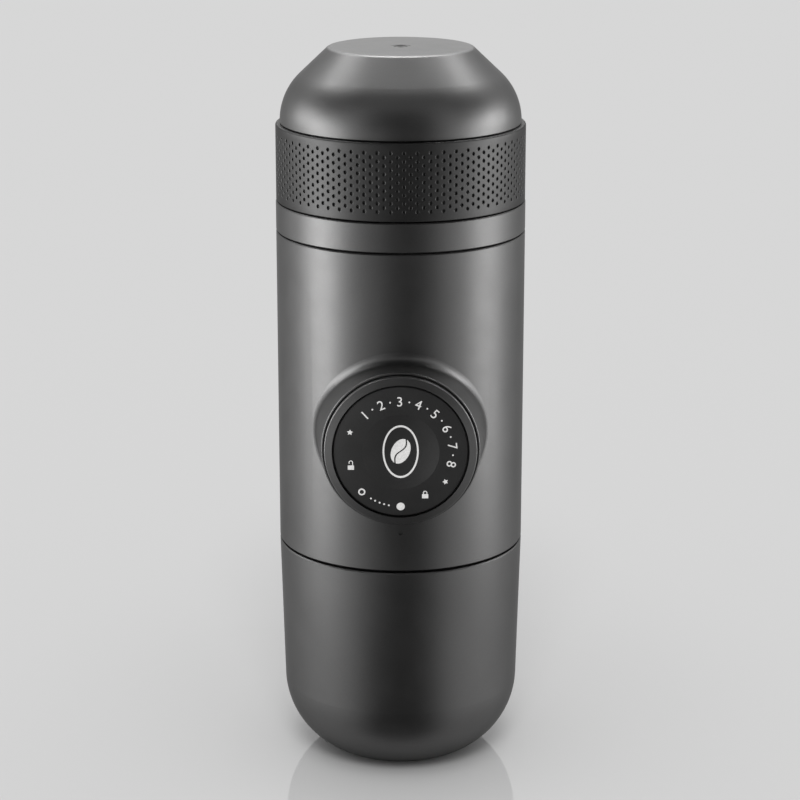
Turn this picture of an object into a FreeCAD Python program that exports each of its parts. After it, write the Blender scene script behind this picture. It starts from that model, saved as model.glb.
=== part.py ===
import FreeCAD, Part
import math
import os
import Sketcher

# Handheld manual espresso maker: cup below, pump body in the middle, screw-on water
# tank on top, and a push knob at the front that locks with a turn.
# Frame: millimetres, +Z up, origin at the centre of the cup foot, knob toward -Y.

VEC = FreeCAD.Vector
SHEET = "Dims"

SIZES = {
    # shared
    "body_radius": 29.8,
    "wall": 2.0,
    "fit": 0.05,
    "soft_gap": 0.3,
    "seam": 0.3,
    "edge_break": 0.25,
    "corner": 0.5,
    # heights of the outer pieces, from the foot up
    "cup_height": 54.2,
    "cup_seam": 0.6,
    "shell_height": 76.55,
    "collar_height": 6.95,
    "band_height": 18.2,
    "dome_height": 17.6,
    # cup
    "cup_wall": 2.2,
    "cup_floor": 2.4,
    "cup_taper": 0.94,
    "cup_waist_z": 17.9,
    "cup_round_radius": 20.2,
    "cup_foot_inset": 12.66,
    "cup_bore_depth": 9.6,
    # knob boss on the shell
    "knob_rise": 32.83,
    "boss_radius": 18.3,
    "boss_reach": 8.8,
    "boss_blend": 2.4,
    "boss_flare_side": 4.2,
    "boss_flare_top": 0.2,
    "boss_edge": 0.35,
    "index_dot_radius": 0.55,
    "index_dot_drop": 23.2,
    "index_dot_depth": 0.25,
    # collar between shell and tank
    "collar_rim": 1.8,
    "collar_rim_height": 1.95,
    # screw threads
    "thread_lead": 5.0,
    "thread_turns": 0.7,
    "ridge_height": 1.3,
    "ridge_root": 1.6,
    "ridge_crest": 0.9,
    "ridge_bury": 0.4,
    "thread_play": 0.25,
    # tank neck
    "neck_wall": 2.5,
    "neck_drop": 3.85,
    "neck_rise": 8.55,
    "floor_plate_lift": 1.0,
    "floor_plate_thick": 2.0,
    # tank
    "band_inset": 0.1,
    "band_wall": 1.95,
    "dome_inset": 1.15,
    "dome_round_radius": 15.0,
    "dome_round_lift": 0.2,
    "dome_slope": 46.6,
    "dome_wall": 1.15,
    "dome_plate": 1.4,
    "dome_rim_round": 1.5,
    "liner_wall": 1.85,
    "liner_lift": 1.45,
    "liner_roof": 1.8,
    "valve_hole": 2.3,
    "valve_face": 1.7,
    "valve_vent": 0.6,
    "valve_flange": 2.0,
    "valve_flap": 0.6,
    # pump
    "stroke": 20.0,
    "cyl_bore": 8.0,
    "cyl_wall": 2.0,
    "cap_thick": 3.2,
    "bush_thick": 3.0,
    "rod_radius": 2.95,
    "piston_play": 0.4,
    "piston_thick": 5.0,
    "seal_low": 1.4,
    "seal_height": 2.2,
    "seal_depth": 0.9,
    "sleeve_wall": 1.45,
    "sleeve_gap": 0.5,
    "lock_thick": 2.0,
    "lock_setback": 2.0,
    "lug_clear": 0.4,
    "tab_reach": 1.6,
    "tab_half": 3.0,
    # knob
    "knob_play": 0.25,
    "knob_radius": 17.6,
    "knob_wall": 2.3,
    "knob_proud": 2.0,
    "knob_plate_depth": 3.9,
    "knob_plate_thick": 2.5,
    "knob_rim": 1.8,
    "knob_round": 0.3,
    "knob_rim_fall": 0.6,
    "lug_thick": 2.5,
    "lug_reach": 1.8,
    "lug_half": 2.3,
    "lug_gap": 0.5,
    "face_proud": 0.05,
    "face_gap": 0.3,
    "dish_radius": 8.9,
    "dish_depth": 0.85,
    "face_fall": 0.35,
    "screw_head_radius": 4.0,
    "screw_head_thick": 1.6,
    "screw_radius": 1.5,
    "screw_length": 5.85,
    "spring_mean": 5.2,
    "spring_wire": 0.5,
    "spring_pitch": 2.1,
    # frame and valve column
    "frame_plate": 3.0,
    "frame_lift": 2.9,
    "pillar_thick": 4.5,
    "pillar_half": 6.0,
    "saddle_wall": 2.5,
    "saddle_length": 11.5,
    "web_half": 1.6,
    "column_radius": 4.8,
    "column_gap": 3.1,
    "passage": 1.5,
    "chamber_radius": 3.3,
    "inlet_rise": 16.4,
    "outlet_fall": 10.6,
    "ball_radius": 2.2,
    "ball_play": 0.15,
    "seat_thick": 3.0,
    "seat_cone": 2.05,
    "spring_gap": 3.4,
    "valve_spring_mean": 2.3,
    "valve_spring_wire": 0.28,
    "valve_spring_pitch": 1.0,
    "valve_spring_lap": 0.77,
    "duct_radius": 2.0,
    "duct_bore": 1.2,
    "duct_lift": 3.3,
    "inlet_duct_radius": 2.5,
    "inlet_inset": 4.5,
    "strainer_radius": 3.2,
    "strainer_height": 1.8,
    "strainer_wall": 0.5,
    "slot_half": 0.25,
    "slot_start": 0.9,
    "screw_inset": 3.75,
    "frame_screw_radius": 1.2,
    "frame_screw_head": 2.2,
    "frame_screw_head_height": 1.7,
    "frame_screw_bite": 3.0,
    # brew end
    "base_flange_height": 2.65,
    "base_play": 0.4,
    "base_wall": 2.2,
    "base_skirt": 9.05,
    "base_step": 3.85,
    "groove_depth": 1.0,
    "groove_height": 2.2,
    "groove_drop": 4.15,
    "brew_thick": 3.9,
    "brew_boss": 6.0,
    "brew_boss_rise": 9.3,
    "brew_recess": 0.75,
    "needle_plate": 9.0,
    "needle_plate_thick": 1.1,
    "needle_radius": 0.9,
    "needle_circle": 6.0,
    "needle_length": 5.6,
    "gasket_thick": 1.4,
    # outlet head and capsule holder
    "head_play": 0.2,
    "head_depth": 32.7,
    "head_cone_depth": 5.4,
    "head_cone_radius": 9.0,
    "head_cone_wall": 1.2,
    "head_floor": 2.2,
    "head_ridge_drop": 0.1,
    "spout_radius": 4.2,
    "spout_bore": 2.0,
    "spout_length": 7.7,
    "spout_drop": 6.1,
    "capsule_depth": 26.5,
    "capsule_rim": 18.7,
    "capsule_rim_depth": 1.2,
    "capsule_mouth": 15.1,
    "capsule_foot": 12.6,
    "holder_drop": 2.5,
    "holder_body": 17.4,
    "holder_flange": 2.4,
    "holder_floor": 1.4,
    "holder_hole": 9.5,
    "plate_thick": 1.0,
    "spike_side": 1.4,
    "spike_circle": 5.04,
    "spike_height": 1.4,
    "spike_point": 0.47,
}


class Size:
    """A length held as a number together with the sheet expression that drives it."""

    def __init__(self, value, text):
        self.value = value
        self.text = text

    def _join(self, sign, left, right, value):
        return Size(value, "(%s %s %s)" % (text_of(left), sign, text_of(right)))

    def __add__(self, other):
        return self._join("+", self, other, self.value + number(other))

    def __radd__(self, other):
        return self._join("+", other, self, number(other) + self.value)

    def __sub__(self, other):
        return self._join("-", self, other, self.value - number(other))

    def __rsub__(self, other):
        return self._join("-", other, self, number(other) - self.value)

    def __mul__(self, other):
        return self._join("*", self, other, self.value * number(other))

    def __rmul__(self, other):
        return self._join("*", other, self, number(other) * self.value)

    def __truediv__(self, other):
        return self._join("/", self, other, self.value / number(other))

    def __neg__(self):
        return Size(-self.value, "(0 - %s)" % self.text)

    def cos(self):
        return Size(math.cos(math.radians(self.value)), "cos(%s)" % self.text)

    def sin(self):
        return Size(math.sin(math.radians(self.value)), "sin(%s)" % self.text)

    def root(self):
        return Size(math.sqrt(self.value), "sqrt(%s)" % self.text)


def number(item):
    return item.value if isinstance(item, Size) else float(item)


def text_of(item):
    return item.text if isinstance(item, Size) else repr(item)


class Named:
    """Every driving size, reachable by its sheet alias."""


def fill_sheet(document):
    sheet = document.addObject("Spreadsheet::Sheet", SHEET)
    named = Named()
    for row, (alias, value) in enumerate(SIZES.items(), start=1):
        sheet.set("A%d" % row, alias)
        sheet.set("B%d" % row, repr(value))
        sheet.setAlias("B%d" % row, alias)
        setattr(named, alias, Size(value, "%s.%s" % (SHEET, alias)))
    document.recompute()
    return named


def stack_heights(d):
    """Levels of the outer pieces, each standing on the one below."""
    d.shell_bottom = d.cup_height + d.cup_seam
    d.shell_top = d.shell_bottom + d.shell_height
    d.collar_bottom = d.shell_top + d.seam
    d.collar_top = d.collar_bottom + d.collar_height
    d.collar_seat = d.collar_top - d.collar_rim_height
    d.band_bottom = d.collar_top + d.seam
    d.band_top = d.band_bottom + d.band_height
    d.dome_foot_z = d.band_top + d.seam
    d.total_height = d.dome_foot_z + d.dome_height
    d.knob_z = d.shell_bottom + d.knob_rise
    d.index_dot_z = d.knob_z - d.index_dot_drop


def place_cup_and_shell(d):
    d.cup_bore = d.body_radius - d.cup_wall
    d.cup_bore_start = d.cup_height - d.cup_bore_depth
    d.cup_waist_radius = d.body_radius - d.cup_taper
    d.cup_foot_radius = d.cup_waist_radius - d.cup_foot_inset
    d.shell_inner = d.body_radius - d.wall
    d.boss_front = d.body_radius + d.boss_reach
    d.boss_root_width = (d.boss_radius + d.boss_flare_side) * 2
    d.boss_root_height = (d.boss_radius + d.boss_flare_top) * 2


def place_tank(d):
    d.band_radius = d.body_radius - d.band_inset
    d.band_inner = d.band_radius - d.band_wall
    d.liner_outer = d.band_inner - d.soft_gap
    d.liner_inner = d.liner_outer - d.liner_wall
    d.liner_bottom = d.collar_top + d.liner_lift
    d.neck_radius = d.liner_inner - d.ridge_height - d.soft_gap
    d.neck_inner = d.neck_radius - d.neck_wall
    d.neck_flange = d.shell_inner - d.fit * 3
    d.neck_flange_top = d.collar_bottom - d.fit
    d.neck_bottom = d.shell_top - d.neck_drop
    d.neck_top = d.collar_top + d.neck_rise
    d.neck_ridge_top = d.neck_top - d.fit
    d.neck_ridge_z = d.neck_ridge_top - d.ridge_root - d.thread_lead * d.thread_turns
    d.floor_plate_bottom = d.neck_bottom + d.floor_plate_lift
    d.floor_plate_top = d.floor_plate_bottom + d.floor_plate_thick
    d.dome_foot_radius = d.body_radius - d.dome_inset
    d.dome_round_r = d.dome_foot_radius - d.dome_round_radius
    d.dome_round_z = d.dome_foot_z + d.dome_round_lift
    d.liner_roof_top = d.total_height - d.dome_plate - d.edge_break + d.fit
    d.liner_roof_z = d.liner_roof_top - d.liner_roof


def place_pump(d):
    """Distances along the pump axis, measured forward from the body axis."""
    d.column_y = d.shell_inner - d.column_radius - d.column_gap
    d.cyl_rear = d.column_radius - d.column_y + d.cap_thick + d.fit * 2
    d.cyl_radius = d.cyl_bore + d.cyl_wall
    d.rod_bore = d.rod_radius + d.fit
    d.piston_radius = d.cyl_bore - d.piston_play
    d.piston_front = d.cyl_rear + d.soft_gap + d.piston_thick
    d.rod_flange_front = d.piston_front + d.fit + d.ridge_crest
    d.cyl_front = d.rod_flange_front + d.stroke + d.edge_break
    d.lock_front = d.cyl_front - d.lock_setback
    d.lock_rear = d.lock_front - d.lock_thick
    d.boss_bore = d.knob_radius + d.knob_play
    d.sleeve_outer = d.boss_bore + d.sleeve_wall
    d.knob_inner = d.knob_radius - d.knob_wall
    d.lock_radius = d.knob_inner - d.lug_reach - d.lug_clear
    d.knob_rear = d.lock_rear - d.lug_gap - d.lug_thick
    d.knob_front = d.boss_front + d.knob_proud
    d.knob_plate_rear = d.knob_front - d.knob_plate_depth
    d.knob_plate_front = d.knob_plate_rear + d.knob_plate_thick
    d.knob_recess = d.knob_radius - d.knob_rim
    d.face_radius = d.knob_recess - d.face_gap
    d.face_rear = d.knob_plate_front + d.fit
    d.face_front = d.knob_front + d.face_proud
    d.saddle_rear = d.cyl_rear + d.cyl_wall - d.corner
    d.saddle_front = d.saddle_rear + d.saddle_length
    d.sleeve_rear = d.saddle_front + d.corner
    reach = d.shell_inner * d.shell_inner - d.sleeve_outer * d.sleeve_outer
    d.sleeve_front = reach.root() - d.sleeve_gap
    d.saddle_radius = d.cyl_radius + d.saddle_wall


def place_frame(d):
    d.frame_radius = d.shell_inner - d.soft_gap
    d.frame_low_z = d.shell_bottom + d.frame_lift
    d.frame_top_z = d.neck_bottom - d.frame_plate - d.fit * 2
    d.pillar_inner = d.sleeve_outer + d.corner
    d.pillar_outer = d.pillar_inner + d.pillar_thick
    d.column_bottom = d.frame_low_z + d.frame_plate + d.fit
    d.column_top = d.frame_top_z - d.fit
    d.inlet_step = d.knob_z + d.inlet_rise
    d.outlet_step = d.knob_z - d.outlet_fall
    d.duct_z = d.column_bottom + d.duct_lift
    d.inlet_y = d.neck_inner - d.inlet_inset
    d.screw_circle = d.neck_flange - d.screw_inset


def place_brew_end(d):
    d.base_flange = d.shell_inner - d.fit * 3
    d.base_shoulder = d.shell_bottom + d.fit * 3
    d.base_flange_top = d.base_shoulder + d.base_flange_height
    d.base_radius = d.cup_bore - d.base_play
    d.base_bore = d.base_radius - d.base_wall
    d.base_ceiling = d.base_shoulder - d.fit * 2
    d.base_bottom = d.base_shoulder - d.base_skirt
    d.groove_radius = d.base_radius - d.groove_depth
    d.groove_high = d.base_shoulder - d.groove_drop
    d.groove_low = d.groove_high - d.groove_height
    d.base_throat = d.base_bore - d.base_step
    d.brew_radius = d.base_throat - d.fit * 3
    d.brew_top = d.base_flange_top - d.fit * 2
    d.brew_face = d.brew_top - d.brew_thick
    d.brew_boss_top = d.brew_top + d.brew_boss_rise
    d.gasket_low = d.base_ceiling - d.fit - d.gasket_thick
    d.head_radius = d.base_bore - d.ridge_height - d.head_play
    d.head_inner = d.head_radius - d.wall
    d.head_top = d.gasket_low - d.soft_gap
    d.head_cone_z = d.head_top - d.head_depth - d.head_floor
    d.head_shoulder_z = d.head_cone_z + d.head_cone_depth
    d.head_floor_z = d.head_cone_z + d.head_floor
    d.head_ridge_z = (d.head_top - d.head_ridge_drop - d.ridge_root
                      - d.thread_lead * d.thread_turns)
    d.spout_bottom = d.head_cone_z - d.spout_drop
    d.spout_top = d.spout_bottom + d.spout_length
    d.holder_radius = d.head_inner - d.soft_gap
    d.holder_top = d.head_top - d.holder_drop
    d.holder_bottom = d.holder_top - d.capsule_depth - d.holder_floor


doc = FreeCAD.newDocument("espresso_maker")
d = fill_sheet(doc)
stack_heights(d)
place_cup_and_shell(d)
place_tank(d)
place_pump(d)
place_frame(d)
place_brew_end(d)
NODES = []


# ---------------------------------------------------------------- drawing helpers

def new_body(label):
    body = doc.addObject("PartDesign::Body", label)
    body.Label = label
    NODES.append(body)
    return body


def pump_body(label):
    """A body whose own Z runs forward along the pump axis."""
    body = new_body(label)
    body.Placement = FreeCAD.Placement(VEC(0, 0, 0), FreeCAD.Rotation(VEC(1, 0, 0), 90))
    body.setExpression("Placement.Base.z", d.knob_z.text)
    return body


def column_body(label):
    """A body whose own Z is the axis of the valve column."""
    body = new_body(label)
    body.setExpression("Placement.Base.y", d.column_y.text)
    return body


def origin_item(body, role):
    for item in body.Origin.OriginFeatures:
        if item.Role == role:
            return item
    raise ValueError("no origin item " + role)


def new_sketch(body, name, plane="XZ_Plane", offset=None):
    sketch = body.newObject("Sketcher::SketchObject", name)
    sketch.AttachmentSupport = [(origin_item(body, plane), "")]
    sketch.MapMode = "FlatFace"
    if offset is not None:
        sketch.setExpression("AttachmentOffset.Base.z", offset.text)
    return sketch


def pin(sketch, geo, pos, x, y):
    """Hold one point of the sketch at x, y measured from the sketch origin."""
    for kind, line, item in (("DistanceX", -2, x), ("DistanceY", -1, y)):
        if isinstance(item, Size):
            slot = sketch.addConstraint(
                Sketcher.Constraint(kind, -1, 1, geo, pos, item.value))
            sketch.setExpression("Constraints[%d]" % slot, item.text)
        else:
            sketch.addConstraint(Sketcher.Constraint("PointOnObject", geo, pos, line))


def bind_radius(sketch, geo, radius):
    slot = sketch.addConstraint(Sketcher.Constraint("Radius", geo, radius.value))
    sketch.setExpression("Constraints[%d]" % slot, radius.text)


def arc_between(start, end, radius):
    """Minor arc; a positive radius keeps the centre on the left of the travel."""
    chord = end - start
    half = chord.Length / 2.0
    side = VEC(-chord.y, chord.x, 0).normalize()
    rise = math.sqrt(max(radius * radius - half * half, 0.0))
    centre = (start + end) / 2.0 + side * math.copysign(rise, radius)
    first, last = (start, end) if radius > 0 else (end, start)
    from_angle = math.atan2(first.y - centre.y, first.x - centre.x)
    to_angle = math.atan2(last.y - centre.y, last.x - centre.x)
    circle = Part.Circle(centre, VEC(0, 0, 1), abs(radius))
    return Part.ArcOfCircle(circle, from_angle, to_angle)


def outline(sketch, path):
    """Closed loop of points (x, y); a third item makes the next edge an arc."""
    ends = []
    for index, item in enumerate(path):
        after = path[(index + 1) % len(path)]
        start = VEC(number(item[0]), number(item[1]), 0)
        end = VEC(number(after[0]), number(after[1]), 0)
        if len(item) == 3:
            geo = sketch.addGeometry(arc_between(start, end, number(item[2])), False)
            ends.append((geo, 1, 2) if number(item[2]) > 0 else (geo, 2, 1))
        else:
            geo = sketch.addGeometry(Part.LineSegment(start, end), False)
            ends.append((geo, 1, 2))
    for index, (geo, first, last) in enumerate(ends):
        follower = ends[(index + 1) % len(ends)]
        sketch.addConstraint(
            Sketcher.Constraint("Coincident", geo, last, follower[0], follower[1]))
        item = path[index]
        pin(sketch, geo, first, item[0], item[1])
        if len(item) == 3:
            radius = item[2] if number(item[2]) > 0 else -item[2]
            bind_radius(sketch, geo, radius)


def ring_circle(sketch, x, y, radius):
    circle = Part.Circle(VEC(number(x), number(y), 0), VEC(0, 0, 1), radius.value)
    geo = sketch.addGeometry(circle, False)
    pin(sketch, geo, 3, x, y)
    bind_radius(sketch, geo, radius)


def ring_oval(sketch, x, y, width, height):
    """Ellipse that is wider than it is high."""
    centre = VEC(number(x), number(y), 0)
    side = centre + VEC(width.value / 2.0, 0, 0)
    top = centre + VEC(0, height.value / 2.0, 0)
    geo = sketch.addGeometry(Part.Ellipse(side, top, centre), False)
    sketch.exposeInternalGeometry(geo)
    pin(sketch, geo, 3, x, y)
    sketch.addConstraint(Sketcher.Constraint("Horizontal", geo + 1))
    for axis, length in ((geo + 1, width), (geo + 2, height)):
        slot = sketch.addConstraint(Sketcher.Constraint("Distance", axis, length.value))
        sketch.setExpression("Constraints[%d]" % slot, length.text)


def box_path(x0, y0, x1, y1):
    return [(x0, y0), (x1, y0), (x1, y1), (x0, y1)]


def spin(body, name, path):
    """Turn a closed profile about the body's own Z axis."""
    sketch = new_sketch(body, name + "_profile")
    outline(sketch, path)
    turned = body.newObject("PartDesign::Revolution", name)
    turned.Profile = sketch
    turned.ReferenceAxis = (sketch, ["V_Axis"])
    turned.Angle = 360
    doc.recompute()
    return turned


def groove(body, name, path):
    sketch = new_sketch(body, name + "_profile")
    outline(sketch, path)
    cut = body.newObject("PartDesign::Groove", name)
    cut.Profile = sketch
    cut.ReferenceAxis = (sketch, ["V_Axis"])
    cut.Angle = 360
    doc.recompute()
    return cut


def extrude(body, kind, name, sketch, length):
    feature = body.newObject("PartDesign::" + kind, name)
    feature.Profile = sketch
    feature.Length = length.value
    feature.setExpression("Length", length.text)
    doc.recompute()
    return feature


def pad(body, name, sketch, length):
    return extrude(body, "Pad", name, sketch, length)


def pocket(body, name, sketch, length):
    return extrude(body, "Pocket", name, sketch, length)


def round_cut(body, name, plane, x, y, radius, offset, length):
    """Round hole from a plane offset, cut back against the plane normal."""
    sketch = new_sketch(body, name + "_circle", plane, offset)
    ring_circle(sketch, x, y, radius)
    return pocket(body, name, sketch, length)


def repeat(body, name, features, count, axis="Z_Axis"):
    pattern = body.newObject("PartDesign::PolarPattern", name)
    pattern.Originals = features
    pattern.Axis = (origin_item(body, axis), [""])
    pattern.Angle = 360
    pattern.Occurrences = count
    body.Tip = pattern
    doc.recompute()
    return pattern


def edges_at(shape, test):
    return ["Edge%d" % (i + 1) for i, edge in enumerate(shape.Edges) if test(edge)]


def dress(body, kind, name, base, edges, size):
    feature = body.newObject("PartDesign::" + kind, name)
    feature.Base = (base, edges)
    prop = "Radius" if kind == "Fillet" else "Size"
    setattr(feature, prop, size.value)
    feature.setExpression(prop, size.text)
    doc.recompute()
    return feature


def circle_edges(shape, radius, height):
    """Full circles about the body's own Z, picked by radius and height."""
    def fits(edge):
        if edge.Degenerated or not isinstance(edge.Curve, Part.Circle):
            return False
        curve = edge.Curve
        same_radius = abs(curve.Radius - number(radius)) < 1e-3
        return same_radius and abs(curve.Center.z - number(height)) < 1e-3
    return edges_at(shape, fits)


def helix_ridge(body, name, wall, tip, bottom, lead):
    """Trapezoid ridge wound up a wall; the tip may lie outside or inside it."""
    bury = d.ridge_bury if tip.value < wall.value else -d.ridge_bury
    slope = (d.ridge_root - d.ridge_crest) / 2
    sketch = new_sketch(body, name + "_profile")
    outline(sketch, [
        (wall + bury, bottom), (tip, bottom + slope),
        (tip, bottom + slope + d.ridge_crest), (wall + bury, bottom + d.ridge_root)])
    return wind(body, name, sketch, lead, lead * d.thread_turns)


def wind(body, name, sketch, pitch, height):
    winding = body.newObject("PartDesign::AdditiveHelix", name)
    winding.Profile = sketch
    winding.ReferenceAxis = (sketch, ["V_Axis"])
    winding.Mode = "pitch-height-angle"
    winding.setExpression("Pitch", pitch.text)
    winding.setExpression("Height", height.text)
    doc.recompute()
    return winding


def coil(body, mean, wire, bottom, top, pitch):
    sketch = new_sketch(body, "wire_section")
    ring_circle(sketch, mean, bottom + wire, wire)
    return wind(body, "coil", sketch, pitch, top - bottom - wire * 2)


# ---------------------------------------------------------------- cup

def make_cup():
    body = new_body("cup")
    rim = d.body_radius
    bore = d.cup_bore
    inner_waist = d.cup_waist_radius - d.cup_wall
    inner_foot = d.cup_foot_radius - d.cup_wall
    cup = spin(body, "bowl", [
        (0, 0),
        (d.cup_foot_radius, 0, d.cup_round_radius),
        (d.cup_waist_radius, d.cup_waist_z),
        (rim, d.cup_height),
        (bore, d.cup_height),
        (bore, d.cup_bore_start),
        (inner_waist, d.cup_waist_z, -(d.cup_round_radius - d.cup_wall)),
        (inner_foot, d.cup_floor),
        (0, d.cup_floor)])
    rim_edges = circle_edges(cup.Shape, rim, d.cup_height)
    rim_edges += circle_edges(cup.Shape, bore, d.cup_height)
    dress(body, "Chamfer", "rim_break", cup, rim_edges, d.edge_break)


# ---------------------------------------------------------------- pump body shell

def make_body_shell():
    body = new_body("body_shell")
    barrel = spin(body, "barrel", box_path(
        0, d.shell_bottom, d.body_radius, d.shell_top))
    rims = circle_edges(barrel.Shape, d.body_radius, d.shell_bottom)
    rims += circle_edges(barrel.Shape, d.body_radius, d.shell_top)
    dress(body, "Chamfer", "rim_break", barrel, rims, d.edge_break)
    root = new_sketch(body, "boss_oval")
    ring_oval(root, 0, d.knob_z, d.boss_root_width, d.boss_root_height)
    front = new_sketch(body, "boss_circle", "XZ_Plane", d.boss_front)
    ring_circle(front, 0, d.knob_z, d.boss_radius)
    boss = body.newObject("PartDesign::AdditiveLoft", "boss")
    boss.Profile = root
    boss.Sections = [front]
    boss.Ruled = True
    doc.recompute()
    blend = dress(body, "Fillet", "boss_blend", boss, saddle_edges(boss.Shape), d.boss_blend)
    front = edges_at(blend.Shape, lambda edge: edge.BoundBox.YMax < -number(d.boss_front) + 0.01)
    dress(body, "Fillet", "boss_lip", blend, front, d.boss_edge)
    inner = new_sketch(body, "inner_circle", "XY_Plane", d.shell_top + 1)
    ring_circle(inner, 0, 0, d.shell_inner)
    pocket(body, "hollow", inner, d.shell_height + 2)
    round_cut(body, "knob_bore", "XZ_Plane", 0, d.knob_z, d.boss_bore,
              d.boss_front + 1, d.boss_front - d.sleeve_front + 2)
    round_cut(body, "index_dot", "XZ_Plane", 0, d.index_dot_z, d.index_dot_radius,
              d.body_radius + 1, d.index_dot_depth + 1)


def saddle_edges(shape):
    """The closed curve where the round boss leaves the barrel."""
    reach = number(d.boss_radius)

    def fits(edge):
        box = edge.BoundBox
        on_front = box.YMax < 0 and box.YMin > -number(d.boss_front) + 1
        return on_front and box.XLength > reach and box.ZLength > reach
    return edges_at(shape, fits)


def make_collar_ring():
    body = new_body("collar_ring")
    rim = d.body_radius - d.collar_rim
    collar = spin(body, "collar", [
        (d.neck_radius + d.fit * 3, d.collar_bottom), (d.body_radius, d.collar_bottom),
        (d.body_radius, d.collar_top), (rim, d.collar_top),
        (rim, d.collar_seat), (d.neck_radius + d.fit * 3, d.collar_seat)])
    edges = circle_edges(collar.Shape, d.body_radius, d.collar_bottom)
    edges += circle_edges(collar.Shape, d.body_radius, d.collar_top)
    dress(body, "Chamfer", "rim_break", collar, edges, d.edge_break)


def make_tank_gasket():
    body = new_body("tank_gasket")
    top = d.collar_top - d.edge_break
    outer = d.body_radius - d.collar_rim - d.fit * 2
    ring = spin(body, "gasket", box_path(
        d.neck_radius + d.fit * 4, d.collar_seat, outer, top))
    dress(body, "Fillet", "soft_edge", ring, circle_edges(ring.Shape, outer, top), d.soft_gap)


def make_neck_ring():
    body = new_body("neck_ring")
    spin(body, "neck", [
        (d.neck_inner, d.neck_bottom),
        (d.neck_flange, d.neck_bottom), (d.neck_flange, d.neck_flange_top),
        (d.neck_radius, d.neck_flange_top), (d.neck_radius, d.neck_top),
        (d.neck_inner, d.neck_top)])
    tip = d.neck_radius + d.ridge_height
    helix_ridge(body, "thread", d.neck_radius, tip, d.neck_ridge_z, d.thread_lead)
    depth = d.frame_screw_bite + d.soft_gap
    hole = screw_holes(body, "screw_hole", d.frame_screw_radius + d.fit,
                       d.neck_bottom + depth, depth)
    repeat(body, "screw_holes", [hole], 4)


def screw_holes(body, name, radius, top, depth):
    diagonal = d.screw_circle * Size(45.0, "45").cos()
    return round_cut(body, name, "XY_Plane", diagonal, diagonal, radius, top, depth)


def make_tank_floor_plate():
    body = new_body("tank_floor_plate")
    edge = d.neck_inner - d.fit
    spin(body, "plate", box_path(0, d.floor_plate_bottom, edge, d.floor_plate_top))
    round_cut(body, "inlet", "XY_Plane", 0, d.inlet_y, d.passage,
              d.floor_plate_top + 1, d.floor_plate_thick + 2)


def make_inlet_strainer():
    body = new_body("inlet_strainer")
    body.setExpression("Placement.Base.y", d.inlet_y.text)
    low = d.floor_plate_top
    wall = d.strainer_wall
    inner = d.strainer_radius - wall
    roof = low + d.strainer_height
    spin(body, "cap", [
        (inner, low), (d.strainer_radius, low), (d.strainer_radius, roof),
        (0, roof), (0, roof - wall), (inner, roof - wall)])
    sketch = new_sketch(body, "slot_outline", "XY_Plane", roof + 1)
    outline(sketch, box_path(d.slot_start, -d.slot_half, inner - d.soft_gap, d.slot_half))
    slot = pocket(body, "slot", sketch, wall + d.soft_gap + 1)
    repeat(body, "slots", [slot], 6)


def make_inlet_duct():
    body = new_body("inlet_duct")
    low = d.column_top + d.fit
    high = d.floor_plate_bottom - d.fit
    for kind, name, radius in (("AdditiveLoft", "tube", d.inlet_duct_radius),
                               ("SubtractiveLoft", "bore", d.passage)):
        start = new_sketch(body, name + "_low", "XY_Plane", low)
        ring_circle(start, 0, d.column_y, radius)
        end = new_sketch(body, name + "_high", "XY_Plane", high)
        ring_circle(end, 0, d.inlet_y, radius)
        loft = body.newObject("PartDesign::" + kind, name)
        loft.Profile = start
        loft.Sections = [end]
        loft.Ruled = True
        doc.recompute()


# ---------------------------------------------------------------- frame and screws

def make_pump_frame():
    body = new_body("pump_frame")
    top_high = d.frame_top_z + d.frame_plate
    low_high = d.frame_low_z + d.frame_plate
    spin(body, "top_plate", box_path(0, d.frame_top_z, d.frame_radius, top_high))
    pillar = new_sketch(body, "pillar_outline", "XY_Plane", d.frame_low_z)
    outline(pillar, box_path(d.pillar_inner, -d.pillar_half, d.pillar_outer, d.pillar_half))
    outline(pillar, box_path(-d.pillar_inner, -d.pillar_half, -d.pillar_outer, d.pillar_half))
    pad(body, "pillars", pillar, top_high - d.frame_low_z)
    spin(body, "low_plate", box_path(
        d.brew_boss + d.soft_gap, d.frame_low_z, d.frame_radius, low_high))
    web = new_sketch(body, "web_outline", "XZ_Plane", d.saddle_rear)
    outline(web, box_path(-(d.pillar_inner + 1), d.knob_z - d.web_half,
                          d.pillar_inner + 1, d.knob_z + d.web_half))
    pad(body, "web", web, d.saddle_front - d.saddle_rear)
    saddle = new_sketch(body, "saddle_circle", "XZ_Plane", d.saddle_rear)
    ring_circle(saddle, 0, d.knob_z, d.saddle_radius)
    pad(body, "saddle", saddle, d.saddle_front - d.saddle_rear)
    round_cut(body, "cylinder_seat", "XZ_Plane", 0, d.knob_z, d.cyl_radius + d.fit,
              d.saddle_front + 1, d.saddle_front - d.saddle_rear + 2)
    round_cut(body, "duct_hole", "XY_Plane", 0, d.column_y - d.passage / 2,
              d.column_radius - d.fit, top_high + 1, d.frame_plate + 2)
    hole = screw_holes(body, "screw_hole", d.frame_screw_radius + d.soft_gap,
                       top_high + 1, d.frame_plate + 2)
    repeat(body, "screw_holes", [hole], 4)


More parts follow.
